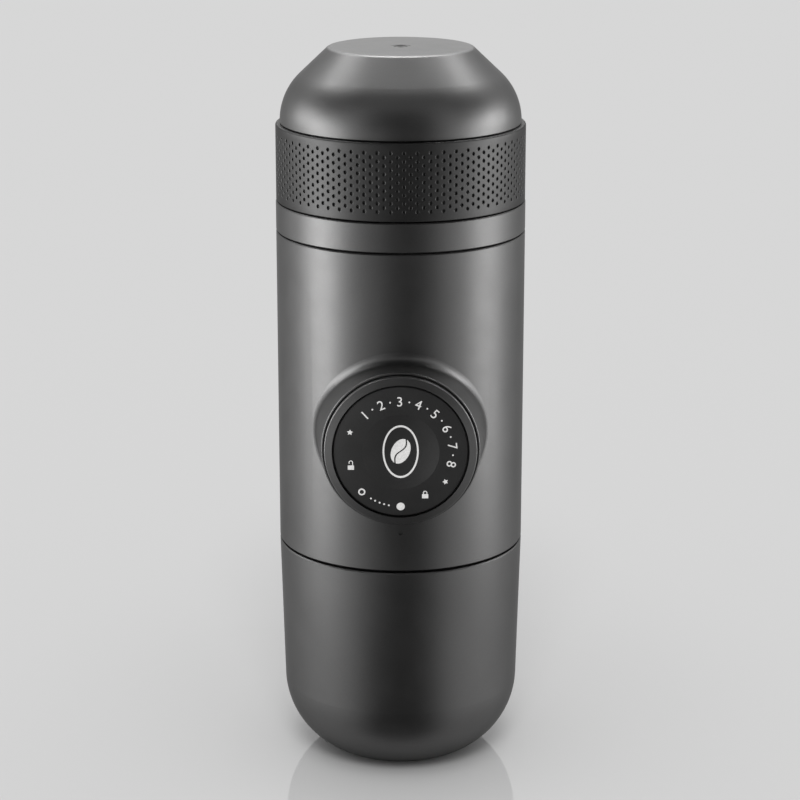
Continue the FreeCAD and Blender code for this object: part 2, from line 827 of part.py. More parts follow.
def make_frame_screws():
    body = new_body("frame_screws")
    head_top = d.frame_top_z - d.fit
    head_low = head_top - d.frame_screw_head_height
    tip = d.neck_bottom + d.frame_screw_bite
    diagonal = d.screw_circle * Size(45.0, "45").cos()
    features = []
    for name, radius, low, high in (("head", d.frame_screw_head, head_low, head_top),
                                    ("shank", d.frame_screw_radius, head_top, tip)):
        sketch = new_sketch(body, name + "_circle", "XY_Plane", low)
        ring_circle(sketch, diagonal, diagonal, radius)
        features.append(pad(body, name, sketch, high - low))
    sketch = new_sketch(body, "socket_circle", "XY_Plane", head_low)
    ring_circle(sketch, diagonal, diagonal, d.frame_screw_radius)
    socket = body.newObject("PartDesign::Pocket", "socket")
    socket.Profile = sketch
    socket.Reversed = True
    socket.setExpression("Length", (d.frame_screw_head_height / 2).text)
    doc.recompute()
    features.append(socket)
    repeat(body, "screws", features, 4)


def make_guide_sleeve():
    body = pump_body("guide_sleeve")
    spin(body, "sleeve", box_path(
        d.boss_bore, d.sleeve_rear, d.sleeve_outer, d.sleeve_front))


def make_lock_ring():
    body = pump_body("lock_ring")
    spin(body, "ring", box_path(d.cyl_radius + d.fit, d.lock_rear, d.lock_radius, d.lock_front))
    sketch = new_sketch(body, "tab_outline", "XY_Plane", d.lock_rear)
    middle = (d.cyl_radius + d.lock_radius) / 2
    outline(sketch, box_path(middle, -d.tab_half, d.lock_radius + d.tab_reach, d.tab_half))
    tab = pad(body, "tab", sketch, d.lock_front - d.lock_rear)
    repeat(body, "tabs", [tab], 4)
    body.Placement = body.Placement.multiply(
        FreeCAD.Placement(VEC(0, 0, 0), FreeCAD.Rotation(VEC(0, 0, 1), 45)))


# ---------------------------------------------------------------- pump

def make_pump_cylinder():
    body = pump_body("pump_cylinder")
    spin(body, "barrel", box_path(d.cyl_bore, d.cyl_rear, d.cyl_radius, d.cyl_front))


def make_cylinder_end_cap():
    body = pump_body("cylinder_end_cap")
    high = d.cyl_rear - d.fit
    low = high - d.cap_thick
    cap = spin(body, "cap", box_path(d.passage, low, d.cyl_radius, high))
    edges = circle_edges(cap.Shape, d.cyl_radius, low)
    dress(body, "Chamfer", "back_break", cap, edges, d.corner)


def make_guide_bush():
    body = pump_body("guide_bush")
    low = d.cyl_front + d.fit
    high = low + d.bush_thick
    bush = spin(body, "bush", box_path(d.rod_bore, low, d.cyl_radius, high))
    edges = circle_edges(bush.Shape, d.cyl_radius, high)
    dress(body, "Chamfer", "front_break", bush, edges, d.corner)


def make_piston_rod():
    body = pump_body("piston_rod")
    flange = d.piston_front + d.fit
    front = d.knob_plate_rear + d.screw_head_thick / 2 - d.fit * 2
    spin(body, "rod", [
        (0, flange), (d.piston_radius - d.wall, flange),
        (d.piston_radius - d.wall, d.rod_flange_front),
        (d.rod_radius, d.rod_flange_front), (d.rod_radius, front), (0, front)])
    round_cut(body, "tapped_hole", "XY_Plane", 0, 0, d.screw_radius + d.fit,
              front + 1, d.screw_length + 2)


def make_piston_head():
    body = pump_body("piston_head")
    rear = d.cyl_rear + d.soft_gap
    front = d.piston_front
    inner = d.piston_radius - d.seal_depth
    low = rear + d.seal_low
    high = low + d.seal_height
    head = spin(body, "head", [
        (0, rear), (d.piston_radius, rear), (d.piston_radius, low), (inner, low),
        (inner, high), (d.piston_radius, high), (d.piston_radius, front), (0, front)])
    edges = circle_edges(head.Shape, d.piston_radius, rear)
    dress(body, "Chamfer", "rear_break", head, edges, d.edge_break)


def make_piston_seal():
    body = pump_body("piston_seal")
    low = d.cyl_rear + d.soft_gap + d.seal_low + d.fit
    high = low + d.seal_height - d.fit * 2
    outer = d.cyl_bore - d.fit
    inner = d.piston_radius - d.seal_depth + d.fit
    seal = spin(body, "seal", box_path(inner, low, outer, high))
    edges = circle_edges(seal.Shape, outer, low) + circle_edges(seal.Shape, outer, high)
    dress(body, "Fillet", "soft_edge", seal, edges, d.soft_gap)


def make_return_spring():
    body = pump_body("return_spring")
    low = d.cyl_front + d.bush_thick + d.fit * 2
    high = d.knob_plate_rear - d.fit
    coil(body, d.spring_mean, d.spring_wire, low, high, d.spring_pitch)


# ---------------------------------------------------------------- knob

def make_knob_body():
    body = pump_body("knob_body")
    inner = d.knob_inner
    head = d.screw_head_radius + d.soft_gap
    head_seat = d.knob_plate_front - d.screw_head_thick - d.fit * 2
    edge = d.knob_front - d.knob_rim_fall
    shell = spin(body, "shell", [
        (d.rod_bore, d.knob_plate_rear), (inner, d.knob_plate_rear), (inner, d.knob_rear),
        (d.knob_radius, d.knob_rear),
        (d.knob_radius, edge), (d.knob_recess, d.knob_front),
        (d.knob_recess, d.knob_plate_front), (head, d.knob_plate_front),
        (head, head_seat), (d.rod_bore, head_seat)])
    outer = circle_edges(shell.Shape, d.knob_radius, edge)
    dress(body, "Fillet", "rim_round", shell, outer, d.knob_round)
    sketch = new_sketch(body, "lug_outline", "XY_Plane", d.knob_rear)
    outline(sketch, box_path(inner - d.lug_reach, -d.lug_half, inner + d.soft_gap, d.lug_half))
    lug = pad(body, "lug", sketch, d.lug_thick)
    repeat(body, "lugs", [lug], 4)


def make_knob_face_plate():
    body = pump_body("knob_face_plate")
    sphere = (d.dish_radius * d.dish_radius / d.dish_depth + d.dish_depth) / 2
    edge = d.face_front - d.face_fall
    slant = d.face_radius - d.dish_radius
    crown = (slant * slant / d.face_fall + d.face_fall) / 2
    plate = spin(body, "plate", [
        (0, d.face_rear), (d.face_radius, d.face_rear), (d.face_radius, edge, crown),
        (d.dish_radius, d.face_front, -sphere), (0, d.face_front - d.dish_depth)])
    edges = circle_edges(plate.Shape, d.face_radius, edge)
    dress(body, "Chamfer", "face_break", plate, edges, d.edge_break)


def make_knob_screw():
    body = pump_body("knob_screw")
    high = d.knob_plate_front - d.fit
    low = high - d.screw_head_thick
    tip = low - d.screw_length
    spin(body, "screw", [
        (0, tip), (d.screw_radius, tip), (d.screw_radius, low),
        (d.screw_head_radius, low), (d.screw_head_radius, high), (0, high)])
    sketch = new_sketch(body, "slot_outline", "XY_Plane", high + 1)
    reach = d.screw_head_radius - d.corner * 2
    outline(sketch, box_path(-reach, -d.corner, reach, d.corner))
    pocket(body, "slot", sketch, d.screw_head_thick / 2 + 1)


# ---------------------------------------------------------------- valve column

def make_valve_column():
    body = column_body("valve_column")
    spin(body, "column", [
        (d.chamber_radius, d.column_bottom), (d.column_radius, d.column_bottom),
        (d.column_radius, d.column_top), (d.chamber_radius, d.column_top),
        (d.chamber_radius, d.inlet_step), (d.passage, d.inlet_step),
        (d.passage, d.outlet_step), (d.chamber_radius, d.outlet_step)])
    reach = d.column_radius + 1
    sketch = new_sketch(body, "pump_port_circle", "XZ_Plane", reach)
    ring_circle(sketch, 0, d.knob_z, d.passage)
    pocket(body, "pump_port", sketch, reach)
    sketch = new_sketch(body, "outlet_port_circle", "XZ_Plane", reach)
    ring_circle(sketch, 0, d.duct_z, d.duct_radius + d.fit)
    pocket(body, "outlet_port", sketch, reach)


def seat_path(low, cone_down):
    """Ring with a cone that the ball closes from below."""
    outer = d.chamber_radius - d.fit
    high = low + d.seat_thick
    return [(d.seat_cone, low), (outer, low), (outer, high), (d.passage, high),
            (d.passage, low + cone_down)]


def ball_centre(seat_low):
    """Where the ball sits when it just clears the cone of its seat."""
    clear = d.ball_radius + d.ball_play
    return seat_low - (clear * clear - d.seat_cone * d.seat_cone).root()


def inlet_seat_low():
    return d.inlet_step + d.spring_gap + d.ball_radius * 2 - d.soft_gap


def outlet_seat_low():
    return d.outlet_step - d.fit - d.seat_thick


def make_valve(prefix, seat_low, spring_low):
    seat = column_body(prefix + "_valve_seat")
    spin(seat, "seat", seat_path(seat_low, d.passage / 2))
    centre = ball_centre(seat_low)
    ball = column_body(prefix + "_valve_ball")
    spin(ball, "ball", [
        (0, centre - d.ball_radius, d.ball_radius), (d.ball_radius, centre, d.ball_radius),
        (0, centre + d.ball_radius)])
    spring = column_body(prefix + "_valve_spring")
    coil(spring, d.valve_spring_mean, d.valve_spring_wire, spring_low,
         centre - d.valve_spring_lap, d.valve_spring_pitch)


def make_inlet_plug():
    body = column_body("inlet_plug")
    low = inlet_seat_low() + d.seat_thick + d.fit
    outer = d.chamber_radius - d.fit
    spin(body, "plug", box_path(d.passage, low, outer, d.column_top - d.fit))


def make_outlet_plug():
    body = column_body("outlet_plug")
    outer = d.chamber_radius - d.fit
    low = d.column_bottom + d.fit
    spin(body, "plug", [
        (0, low), (outer, low), (outer, outlet_plug_top()), (0, outlet_plug_top())])
    sketch = new_sketch(body, "flow_circle", "XZ_Plane", outer + 1)
    ring_circle(sketch, 0, d.duct_z, d.duct_radius + d.fit)
    pocket(body, "flow_port", sketch, outer + 1)
    round_cut(body, "flow_bore", "XY_Plane", 0, 0, d.duct_bore,
              outlet_plug_top() + 1, outlet_plug_top() - d.duct_z + 1)


def outlet_plug_top():
    return ball_centre(outlet_seat_low()) - d.valve_spring_lap - d.spring_gap


def make_outlet_duct():
    body = new_body("outlet_duct")
    start = new_sketch(body, "tube_circle", "XZ_Plane", -(d.column_y - d.fit * 4))
    ring_circle(start, 0, d.duct_z, d.duct_radius)
    ring_circle(start, 0, d.duct_z, d.duct_bore)
    pad(body, "tube", start, d.column_y - d.fit * 4 - d.brew_boss + d.wall)


# ---------------------------------------------------------------- brew end

def make_base_ring():
    body = new_body("base_ring")
    spin(body, "ring", [
        (d.base_flange, d.base_flange_top), (d.base_throat, d.base_flange_top),
        (d.base_throat, d.base_ceiling), (d.base_bore, d.base_ceiling),
        (d.base_bore, d.base_bottom), (d.base_radius, d.base_bottom),
        (d.base_radius, d.groove_low), (d.groove_radius, d.groove_low),
        (d.groove_radius, d.groove_high), (d.base_radius, d.groove_high),
        (d.base_radius, d.base_shoulder), (d.base_flange, d.base_shoulder)])
    tip = d.base_bore - d.ridge_height
    bottom = d.head_ridge_z - d.thread_play - d.ridge_root
    helix_ridge(body, "thread", d.base_bore, tip, bottom, d.thread_lead)


def make_cup_seal_ring():
    body = new_body("cup_seal_ring")
    outer = d.cup_bore - d.fit
    inner = d.groove_radius + d.fit
    low = d.groove_low + d.fit
    high = d.groove_high - d.fit
    ring = spin(body, "ring", box_path(inner, low, outer, high))
    edges = circle_edges(ring.Shape, outer, low) + circle_edges(ring.Shape, outer, high)
    dress(body, "Fillet", "soft_edge", ring, edges, d.soft_gap)


def make_brew_head():
    body = new_body("brew_head")
    spin(body, "head", [
        (d.passage, d.brew_face), (d.brew_radius, d.brew_face), (d.brew_radius, d.brew_top),
        (d.brew_boss, d.brew_top), (d.brew_boss, d.brew_boss_top), (0, d.brew_boss_top),
        (0, d.duct_z), (d.passage, d.duct_z)])
    sketch = new_sketch(body, "duct_circle", "XZ_Plane", 0 - d.brew_boss + d.wall + d.fit)
    ring_circle(sketch, 0, d.duct_z, d.duct_radius + d.fit)
    pocket(body, "duct_seat", sketch, d.wall + 1)
    groove(body, "shower_recess", box_path(
        d.needle_plate + d.wall, d.brew_face - 1, d.brew_radius - d.wall * 2,
        d.brew_face + d.brew_recess))
    back = new_sketch(body, "link_circle", "XZ_Plane", d.fit)
    ring_circle(back, 0, d.duct_z, d.duct_bore)
    pocket(body, "flow_link", back, d.brew_boss)


def make_piercing_needles():
    body = new_body("piercing_needles")
    high = d.brew_face - d.fit
    low = high - d.needle_plate_thick
    spin(body, "plate", box_path(d.passage, low, d.needle_plate, high))
    sketch = new_sketch(body, "needle_profile")
    middle = d.needle_circle
    tip = low - d.needle_length
    shoulder = tip + d.needle_radius * 2
    outline(sketch, [
        (middle, tip), (middle + d.needle_radius, shoulder),
        (middle + d.needle_radius, low + d.soft_gap), (middle, low + d.soft_gap)])
    axis = sketch.addGeometry(
        Part.LineSegment(VEC(number(middle), number(tip), 0),
                         VEC(number(middle), number(low), 0)), True)
    sketch.addConstraint(Sketcher.Constraint("Coincident", axis, 1, 0, 1))
    sketch.addConstraint(Sketcher.Constraint("Vertical", axis))
    needle = body.newObject("PartDesign::Revolution", "needle")
    needle.Profile = sketch
    needle.ReferenceAxis = (sketch, ["Axis0"])
    needle.Angle = 360
    doc.recompute()
    repeat(body, "needles", [needle], 5)


def make_brew_gasket():
    body = new_body("brew_gasket")
    inner = d.base_throat + d.fit * 2
    outer = d.base_bore - d.fit * 2
    ring = spin(body, "ring", box_path(inner, d.gasket_low, outer, d.base_ceiling - d.fit))
    edges = circle_edges(ring.Shape, inner, d.gasket_low)
    edges += circle_edges(ring.Shape, outer, d.gasket_low)
    dress(body, "Fillet", "soft_edge", ring, edges, d.soft_gap)


# ---------------------------------------------------------------- outlet head

def make_outlet_head_body():
    body = new_body("outlet_head_body")
    cone_in = d.head_cone_radius - d.head_cone_wall
    spin(body, "bowl", [
        (d.spout_radius + d.fit, d.head_cone_z), (d.head_cone_radius, d.head_cone_z),
        (d.head_radius, d.head_shoulder_z), (d.head_radius, d.head_top),
        (d.head_inner, d.head_top), (d.head_inner, d.head_shoulder_z + d.edge_break),
        (cone_in, d.head_floor_z), (d.spout_radius + d.fit, d.head_floor_z)])
    tip = d.head_radius + d.ridge_height - d.fit * 2
    helix_ridge(body, "thread", d.head_radius, tip, d.head_ridge_z, d.thread_lead)


def make_outlet_spout():
    body = new_body("outlet_spout")
    spin(body, "spout", [
        (d.spout_bore, d.spout_bottom), (d.spout_radius - d.edge_break * 2, d.spout_bottom),
        (d.spout_radius, d.spout_bottom + d.edge_break * 2), (d.spout_radius, d.spout_top),
        (d.spout_bore, d.spout_top)])


def make_outlet_plate():
    body = new_body("outlet_plate")
    low = d.head_floor_z + d.fit
    high = low + d.plate_thick
    edge = d.head_cone_radius - d.head_cone_wall
    spin(body, "disc", box_path(d.spout_bore, low, edge, high))
    sketch = new_sketch(body, "spike_base", "XY_Plane", high - d.fit)
    half = d.spike_side / 2
    reach = d.spike_circle
    outline(sketch, box_path(reach - half, -half, reach + half, half))
    top = new_sketch(body, "spike_top", "XY_Plane", high + d.spike_height)
    point = d.spike_point / 2
    outline(top, box_path(reach - point, -point, reach + point, point))
    spike = body.newObject("PartDesign::AdditiveLoft", "spike")
    spike.Profile = sketch
    spike.Sections = [top]
    spike.Ruled = True
    doc.recompute()
    repeat(body, "spikes", [spike], 8)


def make_capsule_holder():
    body = new_body("capsule_holder")
    flange_low = d.holder_top - d.holder_flange
    floor = d.holder_bottom + d.holder_floor
    rim_seat = d.holder_top - d.capsule_rim_depth
    spin(body, "holder", [
        (d.holder_hole, d.holder_bottom), (d.holder_body - d.wall, d.holder_bottom),
        (d.holder_body, flange_low - d.wall), (d.holder_body, flange_low),
        (d.holder_radius, flange_low), (d.holder_radius, d.holder_top),
        (d.capsule_rim, d.holder_top), (d.capsule_rim, rim_seat),
        (d.capsule_mouth, rim_seat), (d.capsule_foot, floor), (d.holder_hole, floor)])


# ---------------------------------------------------------------- tank

def dome_line_r(depth, height):
    """Radius on the sloping flank that lies `depth` inside the outer skin."""
    reach = d.dome_round_radius - depth
    rise = height - d.dome_round_z
    return d.dome_round_r + (reach - rise * d.dome_slope.sin()) / d.dome_slope.cos()


def dome_tangent(depth):
    """Point where the rounded shoulder meets the sloping flank."""
    reach = d.dome_round_radius - depth
    return (d.dome_round_r + reach * d.dome_slope.cos(),
            d.dome_round_z + reach * d.dome_slope.sin())


def make_grip_band():
    body = new_body("grip_band")
    band = spin(body, "band", box_path(d.band_inner, d.band_bottom, d.band_radius, d.band_top))
    top = circle_edges(band.Shape, d.band_radius, d.band_top)
    rolled = dress(body, "Fillet", "top_round", band, top, d.corner)
    low = circle_edges(rolled.Shape, d.band_radius, d.band_bottom)
    dress(body, "Fillet", "low_round", rolled, low, d.edge_break)


def make_tank_dome():
    body = new_body("tank_dome")
    zero = d.dome_wall - d.dome_wall
    shoulder = dome_tangent(zero)
    inner = dome_tangent(d.dome_wall)
    roof = d.total_height - d.dome_plate
    inner_foot = d.dome_foot_radius - d.dome_wall
    rim = dome_line_r(zero, d.total_height)
    dome = spin(body, "dome", [
        (d.valve_hole, roof), (dome_line_r(d.dome_wall, roof), roof),
        (inner[0], inner[1], -(d.dome_round_radius - d.dome_wall)),
        (inner_foot, d.dome_round_z), (inner_foot, d.dome_foot_z),
        (d.dome_foot_radius, d.dome_foot_z), (d.dome_foot_radius, d.dome_round_z,
                                              d.dome_round_radius),
        (shoulder[0], shoulder[1]), (rim, d.total_height), (d.valve_hole, d.total_height)])
    edges = circle_edges(dome.Shape, rim, d.total_height)
    dress(body, "Fillet", "rim_round", dome, edges, d.dome_rim_round)


def make_tank_liner():
    body = new_body("tank_liner")
    outside = d.dome_foot_radius - d.liner_outer
    inside = d.dome_foot_radius - d.liner_inner
    outer = dome_tangent(outside)
    inner = dome_tangent(inside)
    spin(body, "liner", [
        (d.valve_hole, d.liner_roof_top),
        (d.valve_hole, d.liner_roof_z),
        (dome_line_r(inside, d.liner_roof_z), d.liner_roof_z),
        (inner[0], inner[1], -(d.dome_round_radius - inside)),
        (d.liner_inner, d.dome_round_z), (d.liner_inner, d.liner_bottom),
        (d.liner_outer, d.liner_bottom), (d.liner_outer, d.dome_round_z,
                                          d.dome_round_radius - outside),
        (outer[0], outer[1]),
        (dome_line_r(outside, d.liner_roof_top), d.liner_roof_top)])
    tip = d.liner_inner - d.ridge_height
    bottom = d.neck_ridge_z - d.thread_play - d.ridge_root
    helix_ridge(body, "thread", d.liner_inner, tip, bottom, d.thread_lead)


def make_tank_seal_ring():
    body = new_body("tank_seal_ring")
    low = d.band_bottom
    high = d.liner_bottom - d.fit
    inner = d.neck_radius + d.ridge_height + d.soft_gap
    ring = spin(body, "ring", box_path(inner, low, d.liner_outer, high))
    edges = circle_edges(ring.Shape, inner, low)
    edges += circle_edges(ring.Shape, d.liner_outer, low)
    dress(body, "Fillet", "soft_edge", ring, edges, d.soft_gap)


def make_air_valve():
    body = new_body("air_valve")
    stem = d.valve_hole - d.fit
    top = d.total_height - d.fit
    flange_high = d.liner_roof_z - d.fit
    flange_low = flange_high - d.plate_thick
    flange = stem + d.valve_flange
    spin(body, "valve", [
        (d.valve_vent, flange_low), (flange, flange_low), (flange, flange_high),
        (stem, flange_high), (stem, top), (d.valve_face, top),
        (d.valve_face - d.fit * 3, top - d.fit * 4), (d.valve_vent, top - d.fit * 4)])


def make_air_valve_flap():
    body = new_body("air_valve_flap")
    high = d.liner_roof_z - d.plate_thick - d.fit * 2
    low = high - d.valve_flap
    edge = d.valve_hole + d.valve_flange
    flap = spin(body, "flap", box_path(0, low, edge, high))
    dress(body, "Fillet", "soft_edge", flap, circle_edges(flap.Shape, edge, low), d.edge_break)


# ---------------------------------------------------------------- build and write

def build():
    make_cup()
    make_body_shell()
    make_collar_ring()
    make_tank_gasket()
    make_neck_ring()
    make_tank_floor_plate()
    make_inlet_strainer()
    make_inlet_duct()
    make_pump_frame()
    make_frame_screws()
    make_guide_sleeve()
    make_lock_ring()
    make_pump_cylinder()
    make_cylinder_end_cap()
    make_guide_bush()
    make_piston_rod()
    make_piston_head()
    make_piston_seal()
    make_return_spring()
    make_knob_body()
    make_knob_face_plate()
    make_knob_screw()
    make_valve_column()
    make_valve("inlet", inlet_seat_low(), d.inlet_step + d.fit)
    make_valve("outlet", outlet_seat_low(), outlet_plug_top() + d.fit)
    make_inlet_plug()
    make_outlet_plug()
    make_outlet_duct()
    make_base_ring()
    make_cup_seal_ring()
    make_brew_head()
    make_piercing_needles()
    make_brew_gasket()
    make_outlet_head_body()
    make_outlet_spout()
    make_outlet_plate()
    make_capsule_holder()
    make_grip_band()
    make_tank_dome()
    make_tank_liner()
    make_tank_seal_ring()
    make_air_valve()
    make_air_valve_flap()


def faults():
    found = []
    for item in doc.Objects:
        if "Invalid" in item.State or "Error" in item.State:
            found.append(item.Label + " " + " ".join(item.State))
    for body in NODES:
        if body.Shape.isNull() or not body.Shape.isValid():
            found.append(body.Label + " has no valid shape")
    return found


def write_parts():
    os.makedirs("parts", exist_ok=True)
    for body in NODES:
        body.Shape.exportStep("parts/%s.step" % body.Label)


build()
doc.recompute()
problems = faults()
if problems:
    raise RuntimeError("; ".join(problems))
write_parts()
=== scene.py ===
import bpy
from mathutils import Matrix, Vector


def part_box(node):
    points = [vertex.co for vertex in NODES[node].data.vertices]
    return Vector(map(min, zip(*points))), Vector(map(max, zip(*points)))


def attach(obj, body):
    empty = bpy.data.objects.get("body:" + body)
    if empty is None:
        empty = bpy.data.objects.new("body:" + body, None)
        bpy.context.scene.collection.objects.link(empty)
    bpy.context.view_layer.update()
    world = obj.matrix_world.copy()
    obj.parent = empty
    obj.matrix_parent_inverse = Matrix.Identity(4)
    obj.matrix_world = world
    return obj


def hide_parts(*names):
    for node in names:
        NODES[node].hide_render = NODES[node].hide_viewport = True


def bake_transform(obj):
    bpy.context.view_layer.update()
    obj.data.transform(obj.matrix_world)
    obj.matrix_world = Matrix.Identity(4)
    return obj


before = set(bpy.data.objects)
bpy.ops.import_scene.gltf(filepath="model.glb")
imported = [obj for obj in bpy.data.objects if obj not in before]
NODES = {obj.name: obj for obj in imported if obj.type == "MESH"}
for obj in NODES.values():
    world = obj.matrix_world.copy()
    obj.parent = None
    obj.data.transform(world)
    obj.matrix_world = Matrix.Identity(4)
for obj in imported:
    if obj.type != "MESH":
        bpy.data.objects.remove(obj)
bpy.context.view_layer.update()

import math

import bmesh
import bpy
from mathutils import Matrix, Vector
from mathutils.bvhtree import BVHTree

# Handheld manual espresso maker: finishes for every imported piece, and modelled pieces
# for the dimpled grip band, the three coil springs and the print on the knob.
# Metres, +Z up, knob toward -Y. A name that ends in _MM is in millimetres.

MM = 0.001
TURN = 2 * math.pi


# ---------------------------------------------------------------- places taken from the frame

def reach(node):
    """Largest distance of a node's surface from the body axis."""
    low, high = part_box(node)
    return max(-low.x, high.x)


def middle(node):
    low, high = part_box(node)
    return (low + high) / 2


BAND_LOW, BAND_HIGH = (corner.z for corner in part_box("grip_band"))
BAND_RADIUS = reach("grip_band")
KNOB_CENTRE = middle("knob_face_plate")


# ---------------------------------------------------------------- shader graphs

# A Mix node's colour sockets share their names with its number sockets, so they go by number.
MIX_SHARE = 0
MIX_FIRST = 6
MIX_SECOND = 7
MIX_RESULT = 2


class Finish:
    """One procedural material: a Principled shader and short calls for the nodes that feed it."""

    def __init__(self, name, **sockets):
        self.material = bpy.data.materials.new(name)
        self.material.use_nodes = True
        self.nodes = self.material.node_tree.nodes
        self.links = self.material.node_tree.links
        self.shader = self.nodes["Principled BSDF"]
        self.place = self.nodes.new("ShaderNodeTexCoord").outputs["Object"]
        for socket, value in sockets.items():
            self.shader.inputs[socket.replace("_", " ")].default_value = value

    def add(self, kind, **inputs):
        """New node, whose named inputs are set to values or linked to other nodes."""
        node = self.nodes.new("ShaderNode" + kind)
        for socket, value in inputs.items():
            self.feed(node.inputs[socket.replace("_", " ")], value)
        return node

    def feed(self, socket, value):
        if isinstance(value, bpy.types.NodeSocket):
            self.links.new(value, socket)
        else:
            socket.default_value = value

    def set(self, socket, value):
        self.feed(self.shader.inputs[socket], value)

    def stretched(self, scale):
        """Object coordinates scaled per axis, for grain that runs one way."""
        mapping = self.add("Mapping", Vector=self.place)
        mapping.inputs["Scale"].default_value = scale
        return mapping.outputs["Vector"]

    def noise(self, scale, detail=2.0, roughness=0.5, place=None):
        """Soft random pattern with about scale features to the metre."""
        node = self.add("TexNoise", Vector=place or self.place, Scale=scale, Detail=detail,
                        Roughness=roughness)
        return node.outputs["Fac"]

    def cells(self, scale):
        """Random level of each small cell, such as a metal flake."""
        node = self.add("TexVoronoi", Vector=self.place, Scale=scale)
        channels = self.add("SeparateColor", Color=node.outputs["Color"])
        return channels.outputs["Red"]

    def math(self, operation, first, second=0.0):
        node = self.nodes.new("ShaderNodeMath")
        node.operation = operation
        self.feed(node.inputs[0], first)
        self.feed(node.inputs[1], second)
        return node.outputs["Value"]

    def span(self, value, low, high, to_low=0.0, to_high=1.0):
        """value, from low to high, mapped onto to_low to to_high."""
        node = self.add("MapRange", Value=value)
        for socket, number in (("From Min", low), ("From Max", high), ("To Min", to_low),
                               ("To Max", to_high)):
            node.inputs[socket].default_value = number
        return node.outputs["Result"]

    def blend(self, share, first, second):
        """Colour first where share is 0 and second where it is 1."""
        node = self.nodes.new("ShaderNodeMix")
        node.data_type = "RGBA"
        self.feed(node.inputs[MIX_SHARE], share)
        self.feed(node.inputs[MIX_FIRST], first)
        self.feed(node.inputs[MIX_SECOND], second)
        return node.outputs[MIX_RESULT]

    def relief(self, height, depth, strength=1.0, below=None):
        """Bump of a height from 0 to 1 that is depth metres deep, over the relief below it."""
        node = self.add("Bump", Height=height, Distance=depth, Strength=strength)
        if below is not None:
            self.links.new(below, node.inputs["Normal"])
        return node.outputs["Normal"]


def grey(value, warmth=0.0):
    """A near neutral colour; warmth above zero leans to red, below zero to blue."""
    return (value * (1 + warmth), value, value * (1 - warmth), 1.0)


# ---------------------------------------------------------------- materials

EDGE_SHINE = 0.5
DRIFT_SHARE = 0.06
FLAKE_LIFT = 1.7
ROUGHNESS_DRIFT = 0.03
COAT_WARMTH = 0.004


def satin_metallic(name, tone, roughness, flake=0.10):
    """Sprayed satin metallic coat: fine flake, faint orange peel and a little tonal drift."""
    coat = Finish(name, Metallic=1.0, Specular_Tint=grey(EDGE_SHINE))
    drift = coat.noise(scale=38.0, detail=3.0)
    dark = grey(tone * (1 - DRIFT_SHARE), COAT_WARMTH)
    light = grey(tone * (1 + DRIFT_SHARE), COAT_WARMTH)
    base = coat.blend(coat.span(drift, 0.3, 0.7), dark, light)
    spark = coat.span(coat.cells(scale=7000.0), 0.0, 1.0, 0.0, flake)
    coat.set("Base Color", coat.blend(spark, base, grey(tone * FLAKE_LIFT)))
    wear = coat.noise(scale=150.0, detail=4.0, roughness=0.6)
    coat.set("Roughness", coat.span(wear, 0.25, 0.75, roughness - ROUGHNESS_DRIFT,
                                    roughness + ROUGHNESS_DRIFT))
    peel = coat.relief(coat.noise(scale=900.0), depth=0.004 * MM, strength=0.5)
    grit = coat.noise(scale=5200.0)
    coat.set("Normal", coat.relief(grit, depth=0.0016 * MM, strength=0.6, below=peel))
    return coat.material


def shell_coat():
    return satin_metallic("shell_coat", tone=0.15, roughness=0.43)


def band_coat():
    return satin_metallic("band_coat", tone=0.08, roughness=0.46, flake=0.06)


def knob_coat():
    return satin_metallic("knob_coat", tone=0.17, roughness=0.44, flake=0.08)


def knob_face_coat():
    return satin_metallic("knob_face_coat", tone=0.16, roughness=0.44, flake=0.12)


def print_ink():
    """White pad print, a little thin here and there."""
    ink = Finish("print_ink", Roughness=0.55)
    thin = ink.noise(scale=2600.0, detail=4.0, roughness=0.7)
    worn, full = grey(0.72, 0.01), grey(0.88, 0.01)
    ink.set("Base Color", ink.blend(ink.span(thin, 0.35, 0.6), worn, full))
    ink.set("Normal", ink.relief(thin, depth=0.003 * MM, strength=0.5))
    return ink.material


def chassis_plastic():
    """Spark-textured black engineering plastic."""
    tone, roughness = 0.022, 0.48
    plastic = Finish("chassis_plastic", Specular_IOR_Level=0.5)
    patch = plastic.noise(scale=60.0, detail=3.0)
    plastic.set("Base Color", plastic.blend(patch, grey(tone * 0.85), grey(tone * 1.2)))
    grain = plastic.noise(scale=2400.0, detail=4.0, roughness=0.65)
    plastic.set("Roughness", plastic.span(grain, 0.3, 0.7, roughness - 0.06, roughness + 0.08))
    plastic.set("Normal", plastic.relief(grain, depth=0.01 * MM, strength=0.6))
    return plastic.material


def smooth_black(name, tone, roughness):
    """Polished black plastic with faint flow lines and handling marks."""
    plastic = Finish(name, Specular_IOR_Level=0.5, Coat_Weight=0.25, Coat_Roughness=0.12)
    lines = plastic.stretched((90.0, 90.0, 600.0))
    flow = plastic.noise(scale=1.0, detail=4.0, roughness=0.6, place=lines)
    plastic.set("Base Color", plastic.blend(flow, grey(tone * 0.9), grey(tone * 1.15)))
    rub = plastic.noise(scale=260.0, detail=5.0, roughness=0.7)
    plastic.set("Roughness", plastic.span(rub, 0.3, 0.8, roughness - 0.05, roughness + 0.1))
    plastic.set("Normal", plastic.relief(flow, depth=0.002 * MM, strength=0.5))
    return plastic.material


def liner_plastic():
    return smooth_black("liner_plastic", tone=0.03, roughness=0.28)


def head_plastic():
    return smooth_black("head_plastic", tone=0.022, roughness=0.22)


